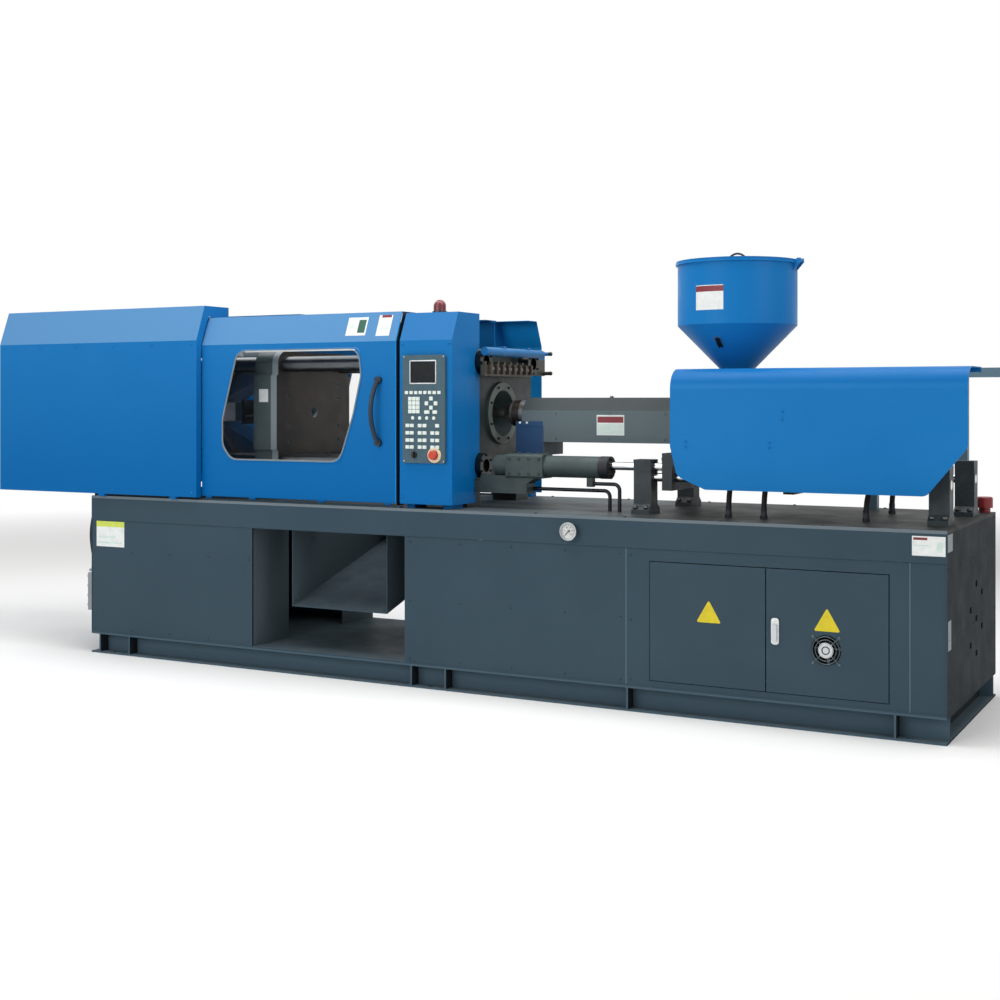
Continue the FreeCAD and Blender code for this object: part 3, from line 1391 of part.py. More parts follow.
def barrel_cover():
    """Folded guard over the heater bands, open below and notched at its left end."""
    w, x0, x1 = barrel_cover_half_width, barrel_cover_left, barrel_cover_right
    slope = barrel_cover_top - barrel_cover_shoulder
    line = [(-w, barrel_cover_bottom), (-w, barrel_cover_shoulder), (-w + slope, barrel_cover_top),
            (w - slope, barrel_cover_top), (w, barrel_cover_shoulder), (w, barrel_cover_bottom)]
    skin = plate_x(folded(line, guard_sheet), x0, x1)
    notch = box(x0 - 1, x0 + barrel_cover_notch_length, -w - 1, w + 1, barrel_cover_bottom - 1,
                barrel_cover_bottom + barrel_cover_notch_height)
    skin = skin.cut(notch)
    strap = box(x1 - 8, front_plate_left, -w + guard_sheet + 14, w - guard_sheet - 14,
                barrel_cover_top - guard_sheet - 3, barrel_cover_top - guard_sheet)
    inside, top = w - guard_sheet, barrel_cover_bottom + barrel_cover_notch_height + purge_guard_overlap
    catch_left, catch_right = purge_guard_left, x0 + barrel_cover_notch_length - guard_sheet
    floor = barrel_cover_bottom - purge_guard_drop
    catch = box(catch_left, catch_right, -inside, inside, floor, top)
    catch = catch.cut(box(catch_left + guard_sheet, catch_right - guard_sheet, -inside + guard_sheet,
                          inside - guard_sheet, floor + guard_sheet, top + 1))
    barrel_gap = barrel_radius + 10
    catch = catch.cut(box(catch_left - 1, catch_right + 1, -barrel_gap, barrel_gap,
                          axis_z - barrel_gap, top + 1))
    return fuse([skin, strap, catch])


def injection_cover():
    """Front guard of the injection unit: one sheet with cut lower corners, bent back at the top."""
    x0, x1 = injection_cover_left, injection_cover_right
    front, bottom, top = -injection_cover_front, injection_cover_bottom, injection_cover_top
    bend, lip = injection_cover_bend, injection_cover_lip
    back = front + injection_cover_flange

    def profile(inset):
        y, z, radius = front + inset, top - inset, bend - inset
        centre_y, centre_z = front + bend, top - bend
        half = radius * math.sqrt(0.5)
        middle = vec(x0, centre_y - half, centre_z + half)
        start, end = vec(x0, y, centre_z), vec(x0, centre_y, z)
        return (vec(x0, y, bottom), start, middle, end, vec(x0, back - inset, z),
                vec(x0, back - inset, top - lip))

    outer, inner = profile(0), profile(guard_sheet)
    edges = []
    for foot, start, middle, end, edge, tip in (outer, inner):
        edges += [Part.LineSegment(foot, start).toShape(), Part.Arc(start, middle, end).toShape(),
                  Part.LineSegment(end, edge).toShape(), Part.LineSegment(edge, tip).toShape()]
    edges += [Part.LineSegment(outer[0], inner[0]).toShape(), Part.LineSegment(outer[5], inner[5]).toShape()]
    sheet = Part.Face(Part.Wire(Part.__sortEdges__(edges))).extrude(vec(x1 - x0, 0, 0))
    above = top + 2 * injection_cover_corner
    outline = [(x0 + dx, bottom + dz) for dx, dz in injection_cover_low_left]
    outline += [(x1 - dx, bottom + dz) for dx, dz in injection_cover_low_right]
    outline += [(x1, above), (x0, above)]
    blank = Part.Face(rounded(outline, injection_cover_corner)).extrude(vec(0, 2 * injection_cover_front, 0))
    blank.translate(vec(0, -injection_cover_front - 1, 0))
    return sheet.common(blank)


def injection_cylinders():
    """Two injection cylinders behind the rear carriage plate, with the glands of their hoses."""
    cylinders = []
    x0, x1 = injection_cylinder_left, injection_cylinder_right
    for side in (-1, 1):
        y = side * injection_cylinder_y
        hose_end = port_hose_bow[-1][2]
        gland = rod_z(port_gland_radius, hose_end, hose_end + gland_height + 10, injection_port_x, y)
        tube = rod_x(injection_cylinder_radius, x0, x1, y, axis_z)
        cap = rod_x(injection_cap_radius, x1 - injection_cap_length, x1, y, axis_z)
        body = fuse([tube, cap, gland])
        bore = rod_x(injection_rod_radius + running_clearance, x0 + 16, x1 + 1, y, axis_z)
        cylinders.append(body.cut(bore))
    return cylinders


def injection_drive():
    """Plate on the two piston rods with the screw motor behind it."""
    x = drive_plate_left
    plate_right = x + drive_plate_sheet
    plate = box(x, plate_right, -drive_plate_half_width, drive_plate_half_width,
                axis_z - drive_plate_half_height, axis_z + drive_plate_half_height)
    rods = [rod_x(injection_rod_radius, x - injection_cylinder_length + 26, x,
                  side * injection_cylinder_y, axis_z) for side in (-1, 1)]
    motor = rod_x(screw_motor_radius, plate_right, plate_right + screw_motor_length, 0, axis_z)
    thrust = rod_x(thrust_radius, x - thrust_length, x, 0, axis_z)
    body = fuse([plate, motor, thrust] + rods)
    return body.cut(rod_x(screw_radius + 8 + running_clearance, x - thrust_length - 1, x + 30, 0, axis_z))


def screw():
    """Reciprocating screw: flighted part in the barrel and its shank in the drive."""
    x = drive_plate_left
    core = rod_x(screw_radius, 140, x - 150, 0, axis_z)
    tip = Part.makeCone(4, screw_radius, 60, vec(80, 0, axis_z), vec(1, 0, 0))
    shank = rod_x(screw_radius + 8, x - 140, x + 28, 0, axis_z)
    neck = rod_x(screw_radius - 2, x - 150, x - 140, 0, axis_z)
    return fuse([core, tip, shank, neck])


def hopper():
    """Sheet metal hopper: cylinder, cone, neck with flange, and rolled rim."""
    t = hopper_sheet
    outer = [(hopper_neck_radius - 14, axis_z + 110), (hopper_neck_radius + 8, axis_z + 110),
             (hopper_neck_radius + 8, axis_z + 122), (hopper_neck_radius - 8, axis_z + 122),
             (hopper_neck_radius - 8, hopper_neck_top - 14),
             (hopper_radius, hopper_shoulder), (hopper_radius, hopper_top - 10),
             (hopper_rim_radius, hopper_top - 10), (hopper_rim_radius, hopper_top),
             (hopper_radius - t, hopper_top), (hopper_radius - t, hopper_shoulder + 1),
             (hopper_neck_radius - 10, hopper_neck_top - 13), (hopper_neck_radius - 14, hopper_neck_top - 16)]
    profile = face_of([vec(hopper_x + r, 0, z) for r, z in outer])
    return profile.revolve(vec(hopper_x, 0, 0), vec(0, 0, 1), 360)


def hopper_lid():
    """Flat lid with a turned edge, a loop handle and its hinge knuckle."""
    z = hopper_top + seat_gap
    disc = rod_z(hopper_rim_radius - 2, z, z + 6, hopper_x, 0)
    disc = disc.fuse(rod_z(hopper_rim_radius - 30, z + 6, z + 9, hopper_x, 0))
    foot_gap = 42.0
    low, high = vec(hopper_x - foot_gap, 0, z + 8), vec(hopper_x + foot_gap, 0, z + 8)
    arc = Part.Wire([Part.Arc(low, vec(hopper_x, 0, hopper_top + hopper_handle_rise), high).toShape()])
    tangent = arc.Edges[0].tangentAt(arc.Edges[0].FirstParameter)
    ring = Part.Wire([Part.Circle(low, tangent, 4.5).toShape()])
    handle = arc.makePipeShell([ring], True, False)
    leaf = box(hopper_x + hopper_rim_radius - 30, hopper_x + hopper_rim_radius + 10, -20, 20, z + 1, z + 6)
    knuckle = rod_y(8, -20, 20, lid_hinge_x, z + 2)
    lid = fuse([disc, handle, leaf, knuckle])
    return lid.cut(rod_y(4 + running_clearance, -30, 30, lid_hinge_x, z + 2))


def lid_hinge():
    """Hinge ears on the hopper rim and their pin."""
    z = hopper_top + seat_gap + 2
    ears = []
    for side in (-1, 1):
        y0, y1 = sorted((side * 20.5, side * 26))
        plate = plate_y([(hopper_x + hopper_radius + 1, hopper_top - 40), (lid_hinge_x + 8, hopper_top - 6),
                         (lid_hinge_x + 8, z + 8), (lid_hinge_x - 8, z + 8),
                         (hopper_x + hopper_rim_radius - 1, hopper_top - 2),
                         (hopper_x + hopper_radius + 1, hopper_top - 2)], y0, y1)
        ears.append(plate)
    pin = rod_y(4, -26, 26, lid_hinge_x, z)
    return ears + [pin]


def cable_tray():
    """Grey duct behind the injection cover, on a post from the deck."""
    x0, x1 = tray_left, injection_cover_right + tray_overhang
    y0 = tray_from_axis
    y1 = y0 + tray_width
    z1 = injection_cover_top + tray_lift
    z0 = z1 - tray_height
    tray = box(x0, x1, y0, y1, z0, z1)
    tray = tray.cut(box(x0 + tray_wall, x1 - tray_wall, y0 + tray_wall, y1 - tray_wall,
                        z0 + tray_wall, z1 + 1))
    posts = [box(x, x + 40, y0 + 12, y1 - 8, deck_top, z0) for x in (x0 + 60, x1 - 220)]
    return fuse([tray] + posts)


def port_hose_routes():
    """Routes from the deck to the ports of both injection cylinders."""
    return [[(injection_port_x + out, side * y, z) for out, y, z in port_hose_bow]
            for side in (1, -1)]


def hoses():
    """The hose on the left end, the two under the carriage and those of the injection cylinders."""
    routes = [left_hose_route] + port_hose_routes()
    for x in carriage_hose_stations:
        bow = [(0, deck_top + 12), (0, deck_top + 70), (hose_side_step, deck_top + 140),
               (hose_side_step, beam_underside - seat_gap)]
        routes.append([(x + dx, -carriage_half_width + 17, z) for dx, z in bow])
    return [bent_route([vec(*p) for p in route], hose_radius) for route in routes]


def bent_route(points, radius):
    """Tube along straight runs joined by arcs as large as the runs allow."""
    edges = []
    last = points[0]
    radii = []
    for index in range(1, len(points) - 1):
        corner = points[index]
        back_run = points[index - 1] - corner
        ahead_run = points[index + 1] - corner
        shorter = min(back_run.Length, ahead_run.Length)
        back, ahead = back_run.normalize(), ahead_run.normalize()
        turn = math.pi - back.getAngle(ahead)
        bend = 0.45 * shorter / math.tan(turn / 2)
        radii.append(round(bend))
        reach = 0.45 * shorter
        bisector = (back + ahead).normalize()
        centre = corner + bisector * math.hypot(bend, reach)
        start, end = corner + back * reach, corner + ahead * reach
        edges.append(Part.LineSegment(last, start).toShape())
        edges.append(Part.Arc(start, centre - bisector * bend, end).toShape())
        last = end
    edges.append(Part.LineSegment(last, points[-1]).toShape())
    path = Part.Wire(edges)
    direction = (points[1] - points[0]).normalize()
    ring = Part.Wire([Part.Circle(points[0], direction, radius).toShape()])
    tube = path.makePipeShell([ring], True, False)
    print("hose radii", radii, "volume ratio",
          round(tube.Volume / (math.pi * radius ** 2 * path.Length), 4))
    return tube


def hose_glands():
    """Deck glands of the hoses under the injection unit."""
    places = [(x, -carriage_half_width + 17) for x in carriage_hose_stations]
    places += [route[0][:2] for route in port_hose_routes()]
    return [rod_z(port_gland_radius, deck_top, deck_top + gland_height, x, y) for x, y in places]


pieces = {
    "base_frame": group(base_plinth() + base_frame() + door_rails()),
    "deck_plate": deck_plate(),
    "base_panels": base_panels(),
    "cabinet_surround": cabinet_surround(),
    "left_cabinet_door": left_cabinet_door(),
    "right_cabinet_door": right_cabinet_door(),
    "door_lock": door_lock(),
    "fan_guard": group([fan_guard(), fan_motor_frame()]),
    "fan_rotor": fan_rotor(),
    "mounting_plate": mounting_plate(),
    "discharge_chute": discharge_chute(),
    "oil_tank": oil_tank(),
    "pump_unit": pump_unit(),
    "pressure_gauge": pressure_gauge(),
    "gauge_needle": gauge_needle(),
    "oil_filler_cap": oil_filler_cap(),
    "water_manifold": water_manifold(),
    "clamp_cover": group(clamp_cover() + [part for stay in cover_stays() for part in both_sides(stay)]),
    "tail_platen": tail_platen(),
    "clamp_cylinder": clamp_cylinder(),
    "adjusting_nuts": adjusting_nuts(),
    "stationary_platen": stationary_platen(),
    "tie_bars": tie_bars(),
    "moving_platen": moving_platen(),
    "upper_front_link": front_link(1),
    "lower_front_link": front_link(-1),
    "upper_rear_links": rear_links(1),
    "lower_rear_links": rear_links(-1),
    "crosshead": crosshead(),
    "upper_crosshead_links": crosshead_links(1),
    "lower_crosshead_links": crosshead_links(-1),
    "ejector_cylinder": ejector_cylinder(),
    "ejector_plate": ejector_plate(),
    "front_door": front_door(),
    "front_door_window": guard_window(),
    "front_door_handle": bow_handle(),
    "rear_door": rear_door(),
    "rear_door_window": mirror_y(guard_window()),
    "control_cabinet": control_cabinet(),
    "control_panel": control_panel(),
    "emergency_stop": emergency_stop(),
    "selector_knob": selector_knob(),
    "alarm_lamp": alarm_lamp(),
    "back_cover": back_cover(),
    "valve_manifold": valve_manifold(),
    "hydraulic_pipes": group(hydraulic_pipes() + hose_glands()),
    "carriage_cylinders": carriage_cylinders(),
    "carriage_supports": carriage_supports(),
    "guide_rods": guide_rods(),
    "carriage_frame": group([carriage_frame()] + injection_cylinders()),
    "carriage_rods": carriage_rod(),
    "barrel": barrel(),
    "barrel_cover": barrel_cover(),
    "injection_cover": injection_cover(),
    "injection_drive": injection_drive(),
    "screw": screw(),
    "hopper": group([fuse([hopper()] + lid_hinge())]),
    "hopper_lid": hopper_lid(),
    "cable_tray": cable_tray(),
    "hoses": group(hoses()),
}

os.makedirs("parts", exist_ok=True)
for name, shape in pieces.items():
    solids = shape.Solids
    if not shape.isValid():
        print("invalid", name)
    print(f"{name:24s} solids {len(solids)} volume {shape.Volume / 1e6:10.2f} l")
    shape.exportStep(f"parts/{name}.step")
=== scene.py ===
import math

import bmesh
import bpy
from mathutils import Matrix, Vector


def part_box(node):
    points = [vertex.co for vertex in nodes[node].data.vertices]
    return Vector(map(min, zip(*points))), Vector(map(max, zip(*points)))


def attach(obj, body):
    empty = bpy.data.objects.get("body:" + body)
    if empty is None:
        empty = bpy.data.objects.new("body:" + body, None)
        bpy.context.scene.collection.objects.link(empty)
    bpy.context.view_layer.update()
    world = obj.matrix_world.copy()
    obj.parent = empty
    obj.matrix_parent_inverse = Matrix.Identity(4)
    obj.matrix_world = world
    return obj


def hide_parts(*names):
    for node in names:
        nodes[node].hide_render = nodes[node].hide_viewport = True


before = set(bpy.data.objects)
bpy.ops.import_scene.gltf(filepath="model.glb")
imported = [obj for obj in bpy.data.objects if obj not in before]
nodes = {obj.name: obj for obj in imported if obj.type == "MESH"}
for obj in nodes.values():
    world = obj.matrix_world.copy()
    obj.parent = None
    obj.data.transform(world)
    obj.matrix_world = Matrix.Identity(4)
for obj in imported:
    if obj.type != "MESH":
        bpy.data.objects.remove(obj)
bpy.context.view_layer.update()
print("frame loaded:", len(nodes), "nodes")


def metres(*values):  # sizes and places below are millimetres, as on the machine's drawing
    return tuple(value * 0.001 for value in values)


def linear(hexColour, share=1.0):  # sRGB hex to the linear colour that a shader takes, or a darker share of it
    parts = [int(hexColour[i:i + 2], 16) / 255 for i in (1, 3, 5)]
    return tuple(share * (c / 12.92 if c <= 0.04045 else ((c + 0.055) / 1.055) ** 2.4) for c in parts) + (1.0,)


def addNode(tree, kind, settings):  # links the sockets in settings, sets anything else and gives the new outputs
    node = tree.nodes.new(kind if "Node" in kind else tree.type.title() + "Node" + kind)
    for name, value in settings.items():
        if isinstance(name, str) and hasattr(node, name):
            setattr(node, name, value)
        elif isinstance(value, bpy.types.NodeSocket):
            tree.links.new(value, node.inputs[name])
        else:
            node.inputs[name].default_value = value
    return node.outputs


def newObject(name, data):
    thing = bpy.data.objects.new(name, data)
    bpy.context.scene.collection.objects.link(thing)
    return thing


def emptyTree(holder):
    holder.use_nodes = True
    holder.node_tree.nodes.clear()
    return holder.node_tree


def startMaterial(name, settings):
    tree = emptyTree(bpy.data.materials.new(name))
    surface = addNode(tree, "BsdfPrincipled", settings)["BSDF"]
    addNode(tree, "OutputMaterial", {"Surface": surface})
    return tree, surface.node, addNode(tree, "TexCoord", {})["Object"]


def blotches(tree, place, size, low, high, detail=3.0):  # drifts between two values, patches of that size in metres
    noise = addNode(tree, "TexNoise", {"Scale": 1 / size, "Detail": detail, "Roughness": 0.6, "Vector": place})
    return addNode(tree, "MapRange", {"From Min": 0.32, "From Max": 0.68, "To Min": low, "To Max": high,
                                      "Value": noise["Fac"]})["Result"]


def layered(tree, ground, layers):  # colours laid over a ground: each layer has a share, or a region, and a colour
    paint = linear(ground)
    for share, colour in layers:
        paint = addNode(tree, "Mix", {
            "data_type": "RGBA", 0: share(tree) if callable(share) else share, 6: paint,
            7: linear(colour) if isinstance(colour, str) else colour})[2]
    return paint


def dress(tree, shader, colour, roughness, height, strength, distance):  # colour, gloss and relief on a shader
    relief = addNode(tree, "Bump", {"Strength": strength, "Distance": distance, "Height": height})
    for name, socket in (("Base Color", colour), ("Roughness", roughness), ("Normal", relief["Normal"])):
        if socket:
            tree.links.new(socket, shader.inputs[name])


def ramp(axis, start, end, source="Object"):  # a region: 0 up to one place on an axis, 1 from another on, in metres
    def share(tree):
        place = addNode(tree, "TexCoord", {})[source]
        part = addNode(tree, "SeparateXYZ", {"Vector": place})[axis]
        return addNode(tree, "MapRange", {"From Min": start, "From Max": end, "Value": part})["Result"]
    return share


def facing(axis, start, end):  # a region: where the surface looks along that axis of the machine
    return ramp(axis, start, end, "Normal")


def past(axis, level, way=1):  # a region: beyond a coordinate in millimetres, or short of it with way -1
    return ramp(axis, level * 0.001 - 0.0006 * way, level * 0.001 + 0.0006 * way)


def inAll(*regions):  # a region: inside each of the others
    def share(tree):
        inside = regions[0](tree)
        for other in regions[1:]:
            inside = addNode(tree, "Math", {"operation": "MULTIPLY", 0: inside, 1: other(tree)})[0]
        return inside
    return share


fanLook = {"x": 1632.5, "z": 311.5, "hub": 33}


def outsideHub(tree):  # the fan guard's outer rings and legs, away from its axis
    place = addNode(tree, "TexCoord", {})["Object"]
    axis = metres(fanLook["x"], 0, fanLook["z"])
    centre = addNode(tree, "VectorMath", {"operation": "SUBTRACT", 0: place, 1: axis})
    flat = addNode(tree, "VectorMath", {"operation": "MULTIPLY", 0: centre[0], 1: (1, 0, 1)})
    reach = addNode(tree, "VectorMath", {"operation": "LENGTH", 0: flat[0]})["Value"]
    return addNode(tree, "Math", {"operation": "GREATER_THAN", 0: reach, 1: fanLook["hub"] * 0.001})[0]


enamelLook = {
    "peelSize": 0.007,      # orange peel is about 3 mm wide, drawn wider so that it shows from a step away
    "peelHeight": 0.0002,
    "sheetWaveSize": 0.45,  # large flat sheets are never quite flat
    "sheetWaveHeight": 0.0010,
}


def sprayedEnamel(name, colour, faded, roughness, gloss, topLightAndDust, topLightAndDustShare, coat=0.12, regions=()):
    tree, shader, place = startMaterial(name, {
        "IOR": 1.5, "Specular IOR Level": gloss, "Coat Weight": coat, "Coat Roughness": 0.25, "Coat IOR": 1.5})
    # Up-facing faces take painted top light mixed with dust: lighter on the dark enamels, darker on the pale and
    # barrel-guard enamels
    topLightAndDustMask = addNode(tree, "Math", {"operation": "MULTIPLY", 0: facing("Z", 0.5, 0.9)(tree),
                                     1: blotches(tree, place, 0.09, 0.4 * topLightAndDustShare, topLightAndDustShare, 5)})
    paint = layered(tree, colour, [(blotches(tree, place, 0.6, 0, 1), faded), *regions, (topLightAndDustMask[0], topLightAndDust)])
    handled = blotches(tree, place, 0.16, roughness - 0.05, roughness + 0.09, 6)
    wave = addNode(tree, "Math", {"operation": "MULTIPLY", 1: enamelLook["sheetWaveHeight"],
                                  0: blotches(tree, place, enamelLook["sheetWaveSize"], 0, 1, 0)})
    height = addNode(tree, "Math", {"operation": "MULTIPLY_ADD", 1: enamelLook["peelHeight"], 2: wave[0],
                                    0: blotches(tree, place, enamelLook["peelSize"], 0, 1, 1)})
    dress(tree, shader, paint, handled, height[0], 0.6, 1.0)


shadeTowardsFloor = ramp("Z", 1.5, 0.85)   # painted shade: darker from eye level down to the deck
onSlope = facing("Z", 0.15, 0.33)     # folds and tops that face the sky, where painted light goes: paler on the clamp cover and housing, darker on the injection unit
onFarCover = inAll(past("X", -300), facing("Y", -0.5, -0.9))  # the inside of the cover beside the fixed platen, made paler as painted light where it stands in shade
# the walls in the bay that face +X, made paler as painted light
onBayWalls = inAll(past("X", -1077), past("X", -241, -1), past("Y", -500), facing("X", 0.5, 0.9))
insidePurgeGuard = inAll(past("X", 234.5, -1), past("Z", 1160.5, -1))

for look in (
        # Two-pack enamel sprayed on folded sheet: deep even blue, with whitish painted highlights on its slopes and
        # tops, painted shade towards the floor and a paler painted light inside beside the fixed platen
        ("blueEnamel", "#166bab", "#1a6fae", 0.38, 0.08, "#5f95cc", 0.14, 0.0,
         [(shadeTowardsFloor, "#025f9f"), (onSlope, "#5486b4"), (onFarCover, "#1587cc")]),
        # The same enamel on the control housing, whose chamfer catches less light
        ("housingEnamel", "#126dad", "#1670b0", 0.38, 0.08, "#5f95cc", 0.14, 0.0,
         [(shadeTowardsFloor, "#0565a6"), (onSlope, "#2f70ab")]),
        # The same enamel on the injection unit, a lighter copy as painted light and a little glossier, its slopes
        # darker as painted shade
        ("freshEnamel", "#146fb1", "#1a73b4", 0.34, 0.08, "#2f74b2", 0.1, 0.0, [(onSlope, "#1366a6")]),
        # The same on the hopper's lid, with its dark handle
        ("lidEnamel", "#126aab", "#166eaf", 0.34, 0.08, "#2f74b2", 0.1, 0.0, [(past("Z", 1850), "#3b4347")]),
        # Slate grey enamel on the welded base, dull and chalky, with painted light: a lighter foot channel, faces
        # towards the right end darker as painted shade, the walls in the bay paler
        ("slateEnamel", "#384954", "#3d4e59", 0.55, 0.03, "#777d7b", 0.3, 0.0,
         [(past("Z", 102, -1), "#485b67"), (facing("X", 0.6, 0.9), "#20262a"), (onBayWalls, "#515e65")]),
        # The same enamel on the deck, paler from above as painted top light, a near-black painted shadow below the
        # injection unit, its front lip lighter
        ("deckEnamel", "#464f53", "#4d5558", 0.52, 0.1, "#565854", 0.22, 0.0,
         [(ramp("X", 0.55, 0.95), "#14181a"), (past("Y", -506, -1), "#68737a")]),
        # Near-black stoving enamel on motors and tanks
        ("blackEnamel", "#23282b", "#282e31", 0.38, 0.3, "#5a5e5e", 0.2),
        # Blue-grey machine enamel on the tail platen's casting
        ("platenEnamel", "#37454b", "#404e54", 0.42, 0.28, "#6c716e", 0.25),
        # Olive-grey primer on the valve rail, with its blue gallery pipe on top
        ("valveEnamel", "#3d4038", "#4a463d", 0.45, 0.3, "#6c6c62", 0.3, 0.0, [(past("Z", 1449), "#0f6ba6")]),
        # Light grey enamel inside cabinets
        ("paleEnamel", "#b4bbbb", "#bec4c3", 0.40, 0.3, "#9a9a92", 0.2),
        # Warm grey stoving enamel on the barrel's guard, its tops darker as painted shade, with its blue splash guard
        ("guardEnamel", "#5a676b", "#626f72", 0.45, 0.12, "#343a3c", 0.5, 0.0,
         [(facing("Z", 0.3, 0.7), "#363d3f"), (insidePurgeGuard, "#2c4b70")]),
        # Grey-blue enamel on the cable duct
        ("ductEnamel", "#56707d", "#5c7683", 0.45, 0.25, "#7f8c90", 0.2, 0.0)):
    sprayedEnamel(*look)


def brushedCasting(name, dark, light, regions=()):  # brushed paint over a sand casting: the grain shows through
    tree, shader, place = startMaterial(name, {"IOR": 1.5, "Specular IOR Level": 0.3})
    paint = layered(tree, dark, [(blotches(tree, place, 0.12, 0, 1, 4), light), *regions])
    grain = blotches(tree, place, 0.006, 0, 1, 4)  # sand grain near 1 mm, drawn at 6
    dress(tree, shader, paint, blotches(tree, place, 0.05, 0.42, 0.6, 4), grain, 0.5, 0.0012)


brushedCasting("castPaint", "#262d31", "#343d41")  # chassis black on the castings, thin over the sand grain
# Grey-green machine paint on the carriage cylinder, its cap black
brushedCasting("cylinderPaint", "#333f40", "#3e4b4c", [(past("X", 589), "#15191b")])
brushedCasting("ringPaint", "#59635c", "#68726b")  # olive-grey on the locating ring's face, left matt by the gasket


def turnedSteel(name, colour, roughness, lineSize, streak=0.06, regions=()):  # tool lines across, faint stains
    tree, shader, place = startMaterial(name, {"Metallic": 1.0})
    stretched = addNode(tree, "Mapping", {"Scale": (1 / lineSize, 1.2, 1.2), "Vector": place})
    lines = addNode(tree, "TexNoise", {"Scale": 1.0, "Detail": 3.0, "Vector": stretched[0]})["Fac"]
    stained = layered(tree, colour, [(blotches(tree, place, 0.07, 0, 1, 5), linear(colour, 0.8)), *regions])
    gloss = addNode(tree, "MapRange", {"To Min": roughness - streak, "To Max": roughness + streak, "Value": lines})
    dress(tree, shader, stained, gloss["Result"], lines, 0.12, 0.0006)


for look in (
        ("hardChrome", "#c9cccf", 0.16, 0.0015, 0.04),    # ground and chromed rods: bright streak
        ("oiledChrome", "#63676a", 0.3, 0.0015, 0.06,     # tie bars under an oil film, their front nuts darker
         [(past("X", -45), "#3a3e3c")]),
        ("machinedSteel", "#94979a", 0.34, 0.002),        # milled and turned steel: satin
        ("dullSteel", "#6d706b", 0.46, 0.003),            # nuts with old oil on them: olive grey
        ("zincSteel", "#aeb2b4", 0.38, 0.01),             # zinc plated wire and screws: milky
        ("blackenedSteel", "#33363a", 0.42, 0.003),       # oil-blackened screws and pipes
        ("satinAluminium", "#b9bec1", 0.32, 0.003),       # anodised aluminium rims
        ("guardWire", "#c3c7c9", 0.38, 0.01, 0.06, [(outsideHub, "#5d676b")])):  # zinc gone dull outside the hub
    turnedSteel(*look)


def heaterBarrel():  # nitrided steel barrel: heater bands of stainless sheet, tinted straw and blue by heat
    band = {"start": 0.09, "pitch": 0.16, "share": 0.75}
    tree, shader, place = startMaterial("heaterBarrel", {"Metallic": 1.0})
    onBand = addNode(tree, "SeparateXYZ", {"Vector": place})["X"]
    for operation, value in (("SUBTRACT", band["start"]), ("DIVIDE", band["pitch"]), ("FRACT", 0.0),
                             ("LESS_THAN", band["share"])):
        onBand = addNode(tree, "Math", {"operation": operation, 0: onBand, 1: value})[0]
    tinted = layered(tree, "#8f8878", [(blotches(tree, place, 0.05, 0, 1, 4), "#7d828c")])
    dress(tree, shader, layered(tree, "#55504a", [(onBand, tinted)]), blotches(tree, place, 0.03, 0.3, 0.5),
          blotches(tree, place, 0.004, 0, 1), 0.2, 0.0006)


def platenCasting(name, groundWay):  # enamelled sides, and a mould face of ground steel under brown rust-proof oil, kept dark as painted shade of the mould space
    tree, shader, place = startMaterial(name, {"IOR": 1.5, "Specular IOR Level": 0.3})
    ground = facing("X", 0.85 * groundWay, 0.95 * groundWay)(tree)
    machinedEdge = inAll(past("X", -1123), past("X", -1088, -1))  # a bared stripe beside the moving platen's face
    foot = past("Z", 905, -1)
    back = facing("X", -0.6 * groundWay, -0.9 * groundWay)  # back faces painted darker
    oilAndShade = layered(tree, "#38302a", [(blotches(tree, place, 0.08, 0, 1, 6), "#272320")])
    paint = layered(tree, "#3c484a", [(blotches(tree, place, 0.3, 0, 1), "#475355"), (machinedEdge, "#7d8a90"),
                                      (foot, "#23292c"), (back, "#2c3435"), (ground, oilAndShade)])
    metal = addNode(tree, "Math", {"operation": "MULTIPLY", 0: ground, 1: 0.25})
    tree.links.new(metal[0], shader.inputs["Metallic"])
    dress(tree, shader, paint, blotches(tree, place, 0.05, 0.38, 0.54, 5), blotches(tree, place, 0.05, 0, 1, 0),
          0.06, 0.0008)


heaterBarrel()
platenCasting("movingPlatenFinish", 1)
platenCasting("fixedPlatenFinish", -1)


def mouldedPlastic(name, colour, roughness, grain=0.0015, depth=0.0001, gloss=0.45):
    tree, shader, place = startMaterial(name, {"IOR": 1.46, "Specular IOR Level": gloss})
    aged = layered(tree, colour, [(blotches(tree, place, 0.03, 0, 1, 4), linear(colour, 0.85))])
    dress(tree, shader, aged, blotches(tree, place, 0.02, roughness - 0.05, roughness + 0.08, 4),
          blotches(tree, place, grain, 0, 1), 0.4, depth)


for look in (
        ("blackPlastic", "#1a1c1e", 0.42),                          # moulded ABS: fine matt grain
        ("navyPlastic", "#142534", 0.36),                           # handle dipped in dark vinyl
        ("keypadPlastic", "#48606b", 0.5, 0.0015, 0.0001, 0.2),     # grey-green membrane over a plate
        ("redPlastic", "#c4402a", 0.32),                            # signal red button, satin
        ("darkRedPlastic", "#7d1f22", 0.3),                         # breather cap, glossy
        ("creamPlastic", "#e3c7a4", 0.45),                          # button's guard ring, yellowed
        ("hoseRubber", "#17191a", 0.55, 0.004, 0.0003, 0.3),        # cloth-wrapped rubber: dull
        ("sealRubber", "#7b8587", 0.5, 0.003, 0.0002, 0.3),         # glazing strip, coloured pale grey as a painted highlight on the window's edge
        ("brownPlastic", "#40342e", 0.45),                          # coil bodies on the valves
        ("keyPlastic", "#dfe9e4", 0.4),                             # key tops: satin, faintly green white
        ("dialEnamel", "#dfe2df", 0.4),                             # stoved dial: matt white
        ("labelFilm", "#e4e8e6", 0.42),                             # polyester film: smooth cool white
        ("limeFilm", "#c9d65a", 0.42), ("greenFilm", "#2a5a49", 0.42),  # printed fields on the same film
        ("wineFilm", "#7d2630", 0.42), ("mintFilm", "#cfe0d8", 0.42), ("yellowFilm", "#d9c51c", 0.4),
        ("displayGlass", "#14191c", 0.2, 0.02, 0.00002, 0.2)):      # unlit display: near-black gloss
    mouldedPlastic(*look)


